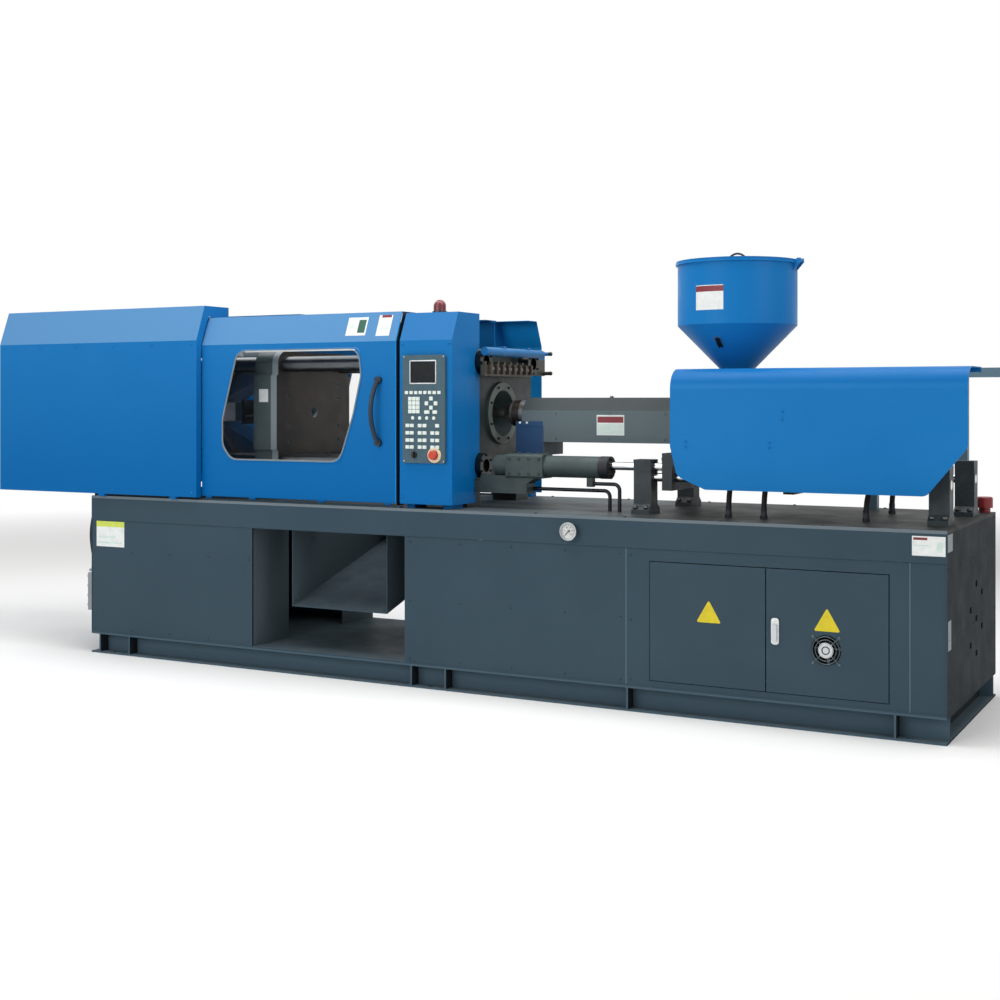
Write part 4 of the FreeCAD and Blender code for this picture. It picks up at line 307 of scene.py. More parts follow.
def clearSheet():  # polycarbonate: nearly invisible face on, slightly smoky, dulled by fine scratches
    tree, shader, place = startMaterial("clearSheet", {
        "Base Color": linear("#3a4244"), "IOR": 1.3, "Specular IOR Level": 0.3, "Alpha": 0.03})
    scratches = addNode(tree, "Mapping", {"Scale": (40, 40, 3), "Rotation": (0, 0.5, 0), "Vector": place})
    fine = addNode(tree, "TexNoise", {"Scale": 1.0, "Detail": 5.0, "Vector": scratches[0]})
    haze = addNode(tree, "MapRange", {"To Min": 0.08, "To Max": 0.3, "Value": fine["Fac"]})
    tree.links.new(haze["Result"], shader.inputs["Roughness"])


def lampLens():  # moulded lens over a lamp that is off: dark red with ribs, on a black foot
    ribsPerMetre, footHeight = 130.0, 11.5
    tree, shader, place = startMaterial("lampLens", {"IOR": 1.49, "Roughness": 0.2, "Coat Weight": 0.1})
    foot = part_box("alarm_lamp")[0].z * 1000 + footHeight
    ribs = addNode(tree, "TexWave", {"Scale": ribsPerMetre, "bands_direction": "Z", "Vector": place})
    dress(tree, shader, layered(tree, "#1b1c1e", [(past("Z", foot), "#6f171c")]), None, ribs["Fac"],
          0.25, 0.0008)


clearSheet()
lampLens()

nodeFinish = {
    "slateEnamel": "base_frame base_panels cabinet_surround left_cabinet_door right_cabinet_door discharge_chute",
    "deckEnamel": "deck_plate", "blueEnamel": "clamp_cover front_door rear_door back_cover",
    "housingEnamel": "control_cabinet", "freshEnamel": "injection_cover hopper", "lidEnamel": "hopper_lid",
    "blackEnamel": "oil_tank pump_unit clamp_cylinder ejector_cylinder injection_drive",
    "paleEnamel": "mounting_plate", "platenEnamel": "tail_platen", "valveEnamel": "valve_manifold",
    "guardEnamel": "barrel_cover", "ductEnamel": "cable_tray", "castPaint": "carriage_supports carriage_frame",
    "cylinderPaint": "carriage_cylinders", "movingPlatenFinish": "moving_platen",
    "fixedPlatenFinish": "stationary_platen", "hardChrome": "door_lock guide_rods carriage_rods",
    "oiledChrome": "tie_bars", "dullSteel": "adjusting_nuts", "blackenedSteel": "hydraulic_pipes",
    "machinedSteel": "water_manifold upper_front_link lower_front_link upper_rear_links lower_rear_links crosshead "
                     "upper_crosshead_links lower_crosshead_links ejector_plate screw",
    "satinAluminium": "pressure_gauge", "guardWire": "fan_guard", "heaterBarrel": "barrel",
    "blackPlastic": "fan_rotor gauge_needle selector_knob", "navyPlastic": "front_door_handle",
    "keypadPlastic": "control_panel", "redPlastic": "emergency_stop", "darkRedPlastic": "oil_filler_cap",
    "hoseRubber": "hoses", "clearSheet": "front_door_window rear_door_window", "lampLens": "alarm_lamp",
}
for finish, names in nodeFinish.items():
    for name in names.split():
        nodes[name].data.materials.clear()
        nodes[name].data.materials.append(bpy.data.materials[finish])
print("finishes on", sum(len(names.split()) for names in nodeFinish.values()), "nodes")


def keepPiece(name, mesh, body, finish, slot):  # puts a finished mesh on a body; slot is not used
    mesh.name = name
    piece = newObject(name, mesh)
    for look in [] if mesh.materials else finish.split():
        mesh.materials.append(bpy.data.materials[look])
    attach(piece, body)
    return piece


def plainMesh(shape):
    mesh = bpy.data.meshes.new("mesh")
    shape.to_mesh(mesh)
    shape.free()
    return mesh


def meshFrom(shape):  # closes a bmesh: doubles merged, faces turned outwards
    bmesh.ops.remove_doubles(shape, verts=shape.verts, dist=1e-6)
    bmesh.ops.recalc_face_normals(shape, faces=shape.faces)
    return plainMesh(shape)


def roundedLoop(points, radius, steps=6):  # a closed outline of (a, b) points with each corner rounded
    loop = []
    for index, point in enumerate(points):
        corner = Vector(point)
        back, ahead = Vector(points[index - 1]) - corner, Vector(points[(index + 1) % len(points)]) - corner
        half = back.angle(ahead) / 2
        reach = min(radius / math.tan(half), 0.45 * back.length, 0.45 * ahead.length)
        start, end = corner + back.normalized() * reach, corner + ahead.normalized() * reach
        for step in range(steps + 1):
            share = step / steps
            loop.append((1 - share) ** 2 * start + 2 * share * (1 - share) * corner + share ** 2 * end)
    return loop


def roundedBox(x0, x1, z0, z1, radius):
    return roundedLoop([(x0, z0), (x1, z0), (x1, z1), (x0, z1)], radius)


def grown(loop, step):  # the same outline moved outwards by step
    area = sum(loop[i - 1].x * loop[i].y - loop[i].x * loop[i - 1].y for i in range(len(loop)))
    way = step if area > 0 else -step
    moved = []
    for index, point in enumerate(loop):
        along = (loop[(index + 1) % len(loop)] - loop[index - 1]).normalized()
        moved.append(point + Vector((along.y, -along.x)) * way)
    return moved


def facingY(point, y):  # an outline point (x, z) at depth y, in metres
    return Vector(metres(point[0], y, point[1]))


def addPrism(shape, front, back):  # two equal outlines in metres, joined by walls
    front, back = ([shape.verts.new(point) for point in loop] for loop in (front, back))
    faces = [shape.faces.new(front), shape.faces.new(back[::-1])]
    return faces + [shape.faces.new((front[i - 1], front[i], back[i], back[i - 1])) for i in range(len(front))]


def prismMesh(outlines):
    shape = bmesh.new()
    addPrism(shape, *outlines)
    return meshFrom(shape)


def makeSlab(name, body, finish, slot, loop, yFront, yBack):  # a plate with that outline between two depths
    outlines = ([facingY(point, y) for point in loop] for y in (yFront, yBack))
    return keepPiece(name, prismMesh(outlines), body, finish, slot)


def trimMesh(outer, inner, yFront, yBack, bevel, angle=35):  # a strip between two outlines, front edges round
    shape = bmesh.new()
    rings = [[shape.verts.new(facingY(point, y)) for point in loop] for loop, y in (
        (outer, yBack), (outer, yFront + bevel), (grown(outer, -bevel), yFront),
        (grown(inner, bevel), yFront), (inner, yFront + bevel), (inner, yBack))]
    for ring, after in zip(rings, rings[1:] + rings[:1]):
        for index in range(len(ring)):
            shape.faces.new((ring[index - 1], ring[index], after[index], after[index - 1]))
    return smoothed(meshFrom(shape), angle)


def makeBlocks(name, body, finish, slot, corners, bevel):  # boxes between pairs of corners in millimetres
    shape = bmesh.new()
    for low, high in corners:
        box = bmesh.ops.create_cube(shape, size=1.0)
        for vert in box["verts"]:
            vert.co = Vector(metres(*[low[i] if vert.co[i] < 0 else high[i] for i in range(3)]))
        edges = list(dict.fromkeys(edge for vert in box["verts"] for edge in vert.link_edges))
        bmesh.ops.bevel(shape, geom=edges, offset=bevel * 0.001, segments=2, affect="EDGES", profile=0.6)
    return keepPiece(name, meshFrom(shape), body, finish, slot)


def turnedMesh(profile, steps, place=Matrix()):  # rings of (radius, height, sides), sides 6 for a hexagon
    shape = bmesh.new()
    rings = []
    for radius, height, sides in profile:
        if radius == 0:
            rings.append([shape.verts.new(place @ Vector((0, 0, height)))])
            continue
        ring = []
        for step in range(steps):
            angle = 2 * math.pi * step / steps
            reach = radius if not sides else radius * math.cos(math.pi / sides) / math.cos(
                angle % (2 * math.pi / sides) - math.pi / sides)
            ring.append(shape.verts.new(place @ Vector((reach * math.cos(angle), reach * math.sin(angle), height))))
        rings.append(ring)
    for ring, after in zip(rings, rings[1:]):
        for index in range(steps):
            corners = [loop[i % len(loop)] for loop, i in (
                (ring, index - 1), (ring, index), (after, index), (after, index - 1))]
            shape.faces.new(dict.fromkeys(corners))  # a triangle at a pole
    return meshFrom(shape)


def smoothed(mesh, angle=35):  # soft across small angles, crisp across large ones
    for face in mesh.polygons:
        face.use_smooth = True
    mesh.set_sharp_from_angle(angle=math.radians(angle))
    return mesh


quarter = math.pi / 2
turns = {"up": (0, 0, 0), "down": (math.pi, 0, 0), "front": (quarter, 0, 0), "rear": (-quarter, 0, 0),
         "right": (0, quarter, 0), "left": (0, -quarter, 0)}


def standing(x, y, z, way):  # a matrix that stands a turned shape at a place in millimetres, looking that way
    turn = turns[way]
    spin = Matrix.Rotation(turn[0], 4, "X") @ Matrix.Rotation(turn[1], 4, "Y")
    return Matrix.Translation(metres(x, y, z)) @ spin @ Matrix.Scale(0.001, 4)


templates = []  # shapes that the node trees copy, taken out again at the end


def template(name, profile, steps):
    templates.append(newObject(name, turnedMesh(profile, steps)))
    return templates[-1]


capScrew = template("capScrew", [
    (0, 0, 0), (1, 0, 0), (1, 0.85, 0), (0.88, 1, 0), (0.58, 1, 6), (0.58, 0.4, 6), (0, 0.4, 0)], 12)
hexBolt = template("hexBolt", [
    (0, 0, 0), (1.35, 0, 0), (1.35, 0.16, 0), (1.08, 0.16, 6), (1.08, 0.8, 6), (0.85, 0.92, 0), (0, 0.92, 0)], 12)
buttonScrew = template("buttonScrew", [
    (0, 0, 0), (1, 0, 0), (0.94, 0.28, 0), (0.72, 0.5, 0), (0.42, 0.6, 6), (0.36, 0.3, 6), (0, 0.3, 0)], 12)
threadRing = template("threadRing", [
    (0.8, 0, 0), (0.94, 0, 0), (1, 0.45, 0), (1, 0.55, 0), (0.94, 1, 0), (0.8, 1, 0)], 24)
domeKey = template("roundKey", [(0, 0, 0), (1, 0, 0), (1, 0.3, 0), (0.8, 0.5, 0), (0, 0.5, 0)], 16)
ballKnob = template("ballKnob", [(0, 0, 0), (0.6, 0, 0), (0.6, 0.25, 0), (0.94, 0.5, 0), (1.05, 0.95, 0),
                                 (0.94, 1.4, 0), (0.55, 1.75, 0), (0, 1.85, 0)], 20)
bead = template("bead", [(0, 0, 0), (0.7, 0, 0), (1, 0.5, 0), (0.8, 1.1, 0), (0, 1.3, 0)], 16)


def blockTemplate(name, bevel):  # a unit block standing on its base, edges rounded
    shape = bmesh.new()
    bmesh.ops.create_cube(shape, size=1.0, matrix=Matrix.Translation((0, 0, 0.5)))
    bmesh.ops.bevel(shape, geom=shape.edges[:], offset=bevel, segments=2, affect="EDGES", profile=0.6)
    templates.append(newObject(name, meshFrom(shape)))
    return templates[-1]


keyBlock = blockTemplate("keyBlock", 0.12)
sharpBlock = blockTemplate("sharpBlock", 0.03)


def startTree(name, *extra):  # seeds, template, size, turn and finish, with the sockets that one tree adds
    tree = bpy.data.node_groups.new(name, "GeometryNodeTree")
    for socket, kind in (("Geometry", "Geometry"), ("Template", "Object"), ("Size", "Vector"),
                         ("Turn", "Vector"), ("Finish", "Material"), ("Count", "Int")) + extra:
        tree.interface.new_socket(name=socket, in_out="INPUT", socket_type="NodeSocket" + kind)
    tree.interface.new_socket(name="Geometry", in_out="OUTPUT", socket_type="NodeSocketGeometry")
    given = addNode(tree, "NodeGroupInput", {})
    return tree, given, addNode(tree, "FunctionNodeEulerToRotation", {"Euler": given["Turn"]})["Rotation"]


def spread(tree, given, points, settings={}):  # the same points at every seed
    sets = addNode(tree, "InstanceOnPoints", {"Points": given["Geometry"], "Instance": points, **settings})
    return addNode(tree, "RealizeInstances", {"Geometry": sets["Instances"]})["Geometry"]


def copyTemplate(tree, given, points, turn):
    thing = addNode(tree, "ObjectInfo", {"Object": given["Template"]})
    return addNode(tree, "InstanceOnPoints", {"Points": points, "Instance": thing["Geometry"], "Rotation": turn,
                                              "Scale": given["Size"]})["Instances"]


def finishTree(tree, given, made):  # the copies made real and given their finish
    real = addNode(tree, "RealizeInstances", {"Geometry": made})
    dressed = addNode(tree, "SetMaterial", {"Geometry": real["Geometry"], "Material": given["Finish"]})
    addNode(tree, "NodeGroupOutput", {"Geometry": dressed["Geometry"]})
    return tree


def rowTree():  # from each seed a row of points, a copy on each
    tree, given, turn = startTree("copiesInRows", ("Step", "Vector"))
    line = addNode(tree, "MeshLine", {"Count": given["Count"], "Offset": given["Step"]})
    return finishTree(tree, given, copyTemplate(tree, given, spread(tree, given, line["Mesh"]), turn))


def ringTree():  # round each seed a circle of points square to the turn, a copy on each
    tree, given, turn = startTree("copiesInRings", ("Reach", "Float"), ("Start", "Float"))
    first = addNode(tree, "ShaderNodeCombineXYZ", {"Z": given["Start"]})["Vector"]
    circle = addNode(tree, "MeshCircle", {"Vertices": given["Count"], "Radius": given["Reach"]})
    begun = addNode(tree, "Transform", {"Geometry": circle["Mesh"], "Rotation": first})
    points = spread(tree, given, begun["Geometry"], {"Rotation": turn})
    return finishTree(tree, given, copyTemplate(tree, given, points, turn))


def tickTree():  # a circle of ticks that point at its middle, then turned and set in place
    tree, given, turn = startTree("dialTicks", ("Reach", "Float"), ("Centre", "Vector"), ("Start", "Float"),
                                  ("Sweep", "Float"))
    arc = addNode(tree, "CurveArc", {"Resolution": given["Count"], "Radius": given["Reach"],
                                     "Start Angle": given["Start"], "Sweep Angle": given["Sweep"]})
    points = addNode(tree, "CurveToPoints", {"mode": "EVALUATED", "Curve": arc["Curve"]})
    here = addNode(tree, "InputPosition", {})["Position"]
    aim = addNode(tree, "FunctionNodeAlignRotationToVector", {"axis": "X", "Vector": here})["Rotation"]
    placed = addNode(tree, "Transform", {"Geometry": copyTemplate(tree, given, points["Points"], aim),
                                         "Translation": given["Centre"], "Rotation": turn})
    return finishTree(tree, given, placed["Geometry"])


inRows, inRings, ticks = rowTree(), ringTree(), tickTree()


def growCopies(name, body, kind, way, tree, seeds, settings):  # runs a tree over seed points and keeps plain mesh
    thing, size, finish, slot = kind  # size is one number, or one for each axis, in millimetres
    settings.update({"Template": thing, "Size": metres(*(size if isinstance(size, tuple) else (size,) * 3)),
                     "Turn": turns[way], "Finish": bpy.data.materials[finish]})
    start = bpy.data.meshes.new(name)
    start.from_pydata([metres(*seed) for seed in seeds], [], [])
    carrier = newObject(name, start)
    grow = carrier.modifiers.new(tree.name, "NODES")
    grow.node_group = tree
    for item in tree.interface.items_tree:
        if item.in_out == "INPUT" and item.name in settings:
            grow[item.identifier] = settings[item.name]
    made = carrier.evaluated_get(bpy.context.evaluated_depsgraph_get())
    mesh = bpy.data.meshes.new_from_object(made)
    carrier.modifiers.remove(grow)
    bpy.data.objects.remove(carrier)
    return keepPiece(name, mesh, body, finish, slot)


def copies(name, body, kind, way, seeds, count=1, step=(0, 0, 0)):
    return growCopies(name, body, kind, way, inRows, seeds, {"Count": count, "Step": metres(*step)})


def ring(name, body, kind, way, seeds, count, reach, start=0.0):
    return growCopies(name, body, kind, way, inRings, seeds, {
        "Count": count, "Reach": reach * 0.001, "Start": math.radians(start)})


def surfaceAt(node, start, way):  # where a line from that point, in millimetres, meets a CAD node
    found, place, _, _ = nodes[node].ray_cast(Vector(metres(*start)), Vector(way))
    return [value * 1000 for value in place] if found else list(start)


def frontOf(node, x, z):  # how far forward that node's front stands
    return surfaceAt(node, (x, -900, z), (0, 1, 0))[1]


hoseLook = {"diameter": 22, "stiffness": "stiff", "lay": "hanging"}
deckTop, portX, sidePort = 780, 1684, -283
hoseRoutes = {
    "leftEndHose": [(-2112, -435, 806), (-2112, -435, 752), (-2124, -438, 696), (-2136, -443, 636),
                    (-2137, -449, 574), (-2125, -454, 516), (-2112, -455, 466), (-2112, -455, 418)]}
for name, x in (("carriageHoseLeft", 1168), ("carriageHoseRight", 1316)):
    hoseRoutes[name] = [(x, sidePort, 792), (x, sidePort, 850), (x + 9, sidePort, 920), (x + 9, sidePort, 984.7)]
portBow = [(25, 215, 792), (25, 215, 844), (35, 211, 893), (37, 206, 940),
           (28, 200, 986), (13, 194, 1030), (0, 190, 1072), (0, 190, 1117)]
for name, side in (("injectionHoseFront", -1), ("injectionHoseRear", 1)):
    hoseRoutes[name] = [(portX + out, side * y, z) for out, y, z in portBow]


def makeHose(name, route):
    curve = bpy.data.curves.new(name, "CURVE")
    curve.dimensions = "3D"
    curve.bevel_depth = hoseLook["diameter"] * 0.0005
    curve.bevel_resolution = 6
    curve.resolution_u = 10
    curve.use_fill_caps = True
    line = curve.splines.new("NURBS")
    line.points.add(len(route) - 1)
    for point, place in zip(line.points, route):
        point.co = metres(*place) + (1.0,)
    line.order_u = 3
    line.use_endpoint_u = True
    curve.materials.append(bpy.data.materials["hoseRubber"])
    hose = newObject(name, curve)
    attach(hose, "base")
    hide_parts("hoses")
    makeFerrules(name, route)


def makeFerrules(name, route):  # pressed steel sleeves at both ends of a hose, with three crimped rings
    sleeve = [(0, 0, 0), (13.5, 0, 6), (13.5, 9, 6), (12.6, 9.5, 0), (12.6, 14, 0), (12.0, 16, 0), (12.6, 18, 0),
              (12.0, 20, 0), (12.6, 22, 0), (12.0, 24, 0), (12.6, 26, 0), (12.4, 30, 0), (11.2, 31, 0)]
    ways = ("up", "down") if route[0][2] < route[-1][2] else ("down", "up")
    shape = bmesh.new()
    for end, way in zip((route[0], route[-1]), ways):
        shape.from_mesh(turnedMesh(sleeve, 24, standing(*end, way)))
    return keepPiece(name + "Ferrules", smoothed(plainMesh(shape)), "base", "blackenedSteel", "bare_steel")


for name, route in hoseRoutes.items():
    makeHose(name, route)
print("hoses:", len(hoseRoutes))

windowLook = {"edge": 5, "corner": 28, "softCorner": 78, "seal": 6, "proud": 2.4, "doorFace": 492}
windowOutline = [(-1268, 1040), (-1268, 1166), (-1186, 1462), (-1150, 1487), (-492, 1487),
                 (-478, 1365), (-520, 1190), (-596, 974), (-1216, 974)]


def makeWindowTrim():  # a sheet rim that rounds the window's corners, a pale rubber seal in it and a bright strip on top: both painted highlights along the window's edge
    hard = roundedLoop(windowOutline, windowLook["corner"])
    soft = roundedLoop(windowOutline, windowLook["softCorner"])
    face = windowLook["doorFace"]
    for word, body, side in (("front", "front_guard", -1), ("rear", "rear_guard", 1)):
        front = side * (face + windowLook["proud"])
        for name, outer, inner, finish, slot, lift in (
                ("WindowRim", grown(hard, windowLook["edge"]), soft, "blueEnamel", "blue_paint", 0),
                ("WindowSeal", grown(soft, 1), grown(soft, -windowLook["seal"]), "sealRubber", "light_paint", 0.6)):
            trim = trimMesh(outer, inner, front + side * lift, side * (face - 1), -side, 50)
            keepPiece(word + name, trim, body, finish, slot)
        depths = sorted((front + side * 1.4, side * (face - 2)))
        makeBlocks(word + "WindowHead", body, "satinAluminium", "bare_steel",
                   [((-1128, depths[0], 1478), (-512, depths[1], 1485))], 1)


makeWindowTrim()

labelLook = {"foot": 0.02, "flat": (0.4, 0.15), "curved": (0.5, 0.2)}  # height of the film, and of each field on it


def keepLabel(name, body, shape, layers):  # layers are (faces, finish), the film itself first
    finishes = list(dict.fromkeys(finish for faces, finish in layers))
    for faces, finish in layers:
        for face in faces:
            face.material_index = finishes.index(finish)
    bmesh.ops.recalc_face_normals(shape, faces=shape.faces)
    keepPiece(name, plainMesh(shape), body, " ".join(finishes), "light_paint")


def flatLabel(name, body, corners, fields):  # a film on four corners: fields are (u0, v0, u1, v1, finish)
    points = [Vector(metres(*corner)) for corner in corners]
    out = (points[1] - points[0]).cross(points[3] - points[0]).normalized() * 0.001
    shape, layers = bmesh.new(), []
    lift, more = labelLook["flat"]
    for index, (u0, v0, u1, v1, finish) in enumerate([(0, 0, 1, 1, "labelFilm")] + fields):
        base = [points[0].lerp(points[1], u).lerp(points[3].lerp(points[2], u), v)
                for u, v in ((u0, v0), (u1, v0), (u1, v1), (u0, v1))]
        loops = ([point + out * height for point in base] for height in (lift + more * index, labelLook["foot"]))
        layers.append((addPrism(shape, *loops), finish))
    keepLabel(name, body, shape, layers)


def upright(x0, x1, z0, z1, y):  # corners of a label that faces the operator
    return [(x0, y, z0), (x1, y, z0), (x1, y, z1), (x0, y, z1)]


def onDoorSlope(x0, x1, z0, z1):  # corners on the sloped top band of the front door
    slope = {"front": -492, "start": 1517, "depth": 55, "rise": 133}
    low, high = (slope["front"] + slope["depth"] * (z - slope["start"]) / slope["rise"] for z in (z0, z1))
    return [(x0, low, z0), (x1, low, z0), (x1, high, z1), (x0, high, z1)]


for label in (
        ("leftBaseLabel", "base", upright(-2044, -1863, 530, 655, -510),
         [(0.0, 0.78, 1.0, 1.0, "limeFilm"), (0.08, 0.12, 0.92, 0.2, "mintFilm"), (0.08, 0.34, 0.7, 0.42, "mintFilm")]),
        ("beamLabel", "base", upright(1951, 2071, 686, 758, -512),
         [(0.04, 0.8, 0.46, 0.93, "wineFilm"), (0.08, 0.5, 0.5, 0.56, "mintFilm"),
          (0.74, 0.2, 0.92, 0.72, "mintFilm")]),
        ("doorLabelLeft", "front_guard", onDoorSlope(-574, -468, 1545, 1628),
         [(0.56, 0.14, 0.93, 0.86, "greenFilm"), (0.1, 0.4, 0.34, 0.58, "mintFilm")]),
        ("doorLabelRight", "front_guard", onDoorSlope(-411, -340, 1541, 1635),
         [(0.2, 0.88, 0.92, 1.0, "wineFilm"), (0.2, 0.3, 0.8, 0.38, "mintFilm")]),
        ("barrelLabel", "carriage", upright(499, 630, 1101, 1190, -104),
         [(0.03, 0.62, 0.97, 0.92, "wineFilm"), (0.03, 0.08, 0.97, 0.55, "mintFilm")]),
        ("platenLabel", "moving", upright(-1193, -1139, 1246, 1308, frontOf("moving_platen", -1166, 1277)), [])):
    flatLabel(*label)

# A pale rounded plate on the lock's raised seat, a black ring on the fan guard's hub, plain yellow triangles
lockSeat = frontOf("right_cabinet_door", 1449, 330)
makeSlab("lockPlate", "right_door", "labelFilm", "light_paint", roundedBox(1419.5, 1450.5, 318, 420, 15.4),
         lockSeat - 1, lockSeat)
hubRing = [(12, 0.1, 0), (16, 0.1, 0), (16, 0.9, 0), (12, 0.9, 0), (12, 0.1, 0)]
fanX, fanZ = fanLook["x"], fanLook["z"]
hubPlace = standing(fanX, frontOf("fan_guard", fanX, fanZ), fanZ, "front")
keepPiece("fanHubRing", turnedMesh(hubRing, 40, hubPlace), "right_door", "blackPlastic", "black_plastic")
triangle = {"side": 102, "corner": 6, "front": -513.1, "back": -512.5}
for name, body, x, z in (("leftDoorTriangle", "left_door", 1166, 411), ("rightDoorTriangle", "right_door", 1636, 412)):
    half, high = triangle["side"] / 2, triangle["side"] * math.sqrt(3) / 2
    outline = [(x - half, z - high / 3), (x + half, z - high / 3), (x, z + high * 2 / 3)]
    makeSlab(name, body, "yellowFilm", "light_paint", roundedLoop(outline, triangle["corner"]),
             triangle["front"], triangle["back"])


keypad = {
    "face": -506, "softKeys": (-231, 1288, 23.6, 8), "keySize": (19, 15, 5),
    "block": (-213, 1261, 20, 18.5), "round": (-199.7, 1177, 35.7), "rows": (1144, 1112, 1080, 1050),
    "groups": ((-235, 22), (-172, 24), (-108, 24)), "screen": (-211, -87, 1331, 1423),
    "diamond": ((-106, 1262, 17, 17), (-129, 1241, 17, 17), (-83, 1241, 17, 17), (-106, 1222, 17, 17),
                (-127, 1203, 26, 15), (-87, 1203, 22, 15)),
}


def makeKeypad():
    face, wide = keypad["face"], keypad["keySize"][0]
    y = face - 0.02

    def keys(name, size, seeds, count=1, pitch=0, thing=keyBlock):
        copies(name, "base", (thing, size, "keyPlastic", "panel_plastic"), "front", seeds, count, (pitch, 0, 0))

    x, z, pitch, count = keypad["softKeys"]
    keys("softKeys", (16, 14, 4), [(x, y, z)], count, pitch)
    x, z, pitch, drop = keypad["block"]
    keys("blockKeys", (18, 16.5, 4), [(x, y, z - drop * row) for row in range(4)], 3, pitch)
    x, z, pitch = keypad["round"]
    keys("roundKeys", 8, [(x, y, z)], 4, pitch, domeKey)
    for index, (left, pitch) in enumerate(keypad["groups"]):
        rows = keypad["rows"][1:] if index == 2 else keypad["rows"]
        keys("wideKeys%d" % index, keypad["keySize"], [(left + wide / 2, y, row) for row in rows], 2, pitch)
    keys("singleKey", keypad["keySize"], [(left + wide / 2 + pitch, y, keypad["rows"][0])])
    for index, (x, z, broad, high) in enumerate(keypad["diamond"]):
        keys("arrowKey%d" % index, (broad, high, 4), [(x, y, z)])
    x0, x1, z0, z1 = keypad["screen"]
    makeSlab("display", "base", "displayGlass", "panel_plastic", roundedBox(x0, x1, z0, z1, 3), face + 1.6, face + 2.95)
    border = roundedBox(x0 - 6, x1 + 6, z0 - 6, z1 + 6, 6)
    keepPiece("displayFrame", trimMesh(border, grown(border, -5), face - 1.6, face, 0.8), "base", "satinAluminium",
              "panel_plastic")
    guardRing = [(21, 4.2, 0), (21, 5.4, 0), (29, 5.4, 0), (33, 3.4, 0), (34, 0.05, 0), (29.2, 0.05, 0),
                 (29.2, 4.2, 0), (21, 4.2, 0)]
    stopPlace = standing(-90, face, 1016, "front")
    keepPiece("stopRing", smoothed(turnedMesh(guardRing, 40, stopPlace)), "base", "creamPlastic", "panel_plastic")
    copies("keypadScrews", "base", (buttonScrew, 3.6, "zincSteel", "bare_steel"), "front",
           [(-246, y, 1444), (-45, y, 1444), (-246, y, 988), (-45, y, 988)])


makeKeypad()

gauge = {"x": 568, "z": 716, "dial": -534, "glass": -540, "radius": 33.3, "sweep": 270, "top": 250,
         "numbers": 6, "numberSize": 6.2, "numberReach": 18}


def makeGauge():
    x, z, radius, sweep = (gauge[word] for word in ("x", "z", "radius", "sweep"))

    def disc(name, y, low, high, finish, slot):
        profile = [(0, low, 0), (radius, low, 0), (radius, high, 0), (0, high, 0)]
        keepPiece(name, turnedMesh(profile, 48, standing(x, y, z, "front")), "base", finish, slot)

    disc("gaugeDial", gauge["dial"], 0.02, 0.6, "dialEnamel", "dial_white")
    for name, count, size, reach in (("gaugeMarks", 11, (6, 1.1, 0.3), 26), ("gaugeFineMarks", 51, (3, 0.5, 0.3), 28)):
        growCopies(name, "base", (sharpBlock, size, "blackPlastic", "black_plastic"), "front", ticks, [(0, 0, 0)], {
            "Count": count, "Reach": reach * 0.001, "Centre": metres(x, gauge["dial"] - 0.62, z),
            "Start": math.radians(-45), "Sweep": math.radians(sweep)})
    shape = bmesh.new()
    last = gauge["numbers"] - 1
    for index in range(gauge["numbers"]):  # from 0 at the lower left, clockwise
        angle = math.radians(90 + sweep / 2 - index * sweep / last)
        words = bpy.data.curves.new("gaugeNumber", "FONT")
        words.body = str(index * gauge["top"] // last)
        words.size = gauge["numberSize"] * 0.001
        words.align_x, words.align_y = "CENTER", "CENTER"
        writer = newObject("gaugeNumber", words)
        flat = bpy.data.meshes.new_from_object(writer.evaluated_get(bpy.context.evaluated_depsgraph_get()))
        bpy.data.objects.remove(writer)
        along, up = gauge["numberReach"] * math.cos(angle), gauge["numberReach"] * math.sin(angle)
        flat.transform(Matrix.Translation(metres(x + along, gauge["dial"] - 0.75, z + up)) @
                       Matrix.Rotation(quarter, 4, "X"))
        shape.from_mesh(flat)
    keepPiece("gaugeNumbers", plainMesh(shape), "base", "blackPlastic", "black_plastic")
    disc("gaugeGlass", gauge["glass"], 0, 1, "clearSheet", "clear_sheet")


makeGauge()
print("window trim, labels, keypad and gauge ready")


def makeSeams():  # a black rubber strip that fills the gap beside the front sliding door as painted shade, and rubbed edges of the sheets
    gap = {"low": 790, "slope": 1517, "top": 1648, "face": 488, "rise": 55, "deep": 55, "ends": (-295.6, -293.05)}
    face, back, deep = gap["face"], gap["face"] - gap["rise"], gap["deep"]
    outline = [(face, gap["low"]), (face, gap["slope"]), (back, gap["top"]), (back - deep, gap["top"]),
               (face - deep, gap["slope"] - 4), (face - deep, gap["low"])]
    shadeStrip = prismMesh([metres(x, -y, z) for y, z in outline] for x in gap["ends"])
    keepPiece("doorStopFront", shadeStrip, "base", "hoseRubber", "black_plastic")
    # The electrical section's front stands between two folded edges
    makeBlocks("sectionEdges", "base", "ductEnamel", "duct_grey",
               [((x, -511.2, 108), (x + 3, -507, 657)) for x in (812.2, 1942)], 0.4)
    makeBlocks("endPlates", "base", "sealRubber", "bare_steel",
               [((2075.9, low, z0), (2078.4, high, z1))
                for low, high, z0, z1 in ((-506, -418, 700, 764), (-500, -446, 341, 449))], 0.8)


makeSeams()

machineAxis = 1195  # height of the clamp's and the screw's common axis
tieBars = [(y, z) for y in (-232.5, 232.5) for z in (962.5, 1427.5)]
sheetScrew, guardScrew = (buttonScrew, 5, "slateEnamel", "slate_paint"), (buttonScrew, 6, "freshEnamel", "blue_paint")
paintedCap = (capScrew, 6, "cylinderPaint", "cast_dark")
blackCap = {size: (capScrew, size, "blackenedSteel", "bare_steel") for size in (5, 6, 7, 11, 12)}
dullBolt = {size: (hexBolt, size, "dullSteel", "bare_steel") for size in (8, 9, (8, 8, 10))}


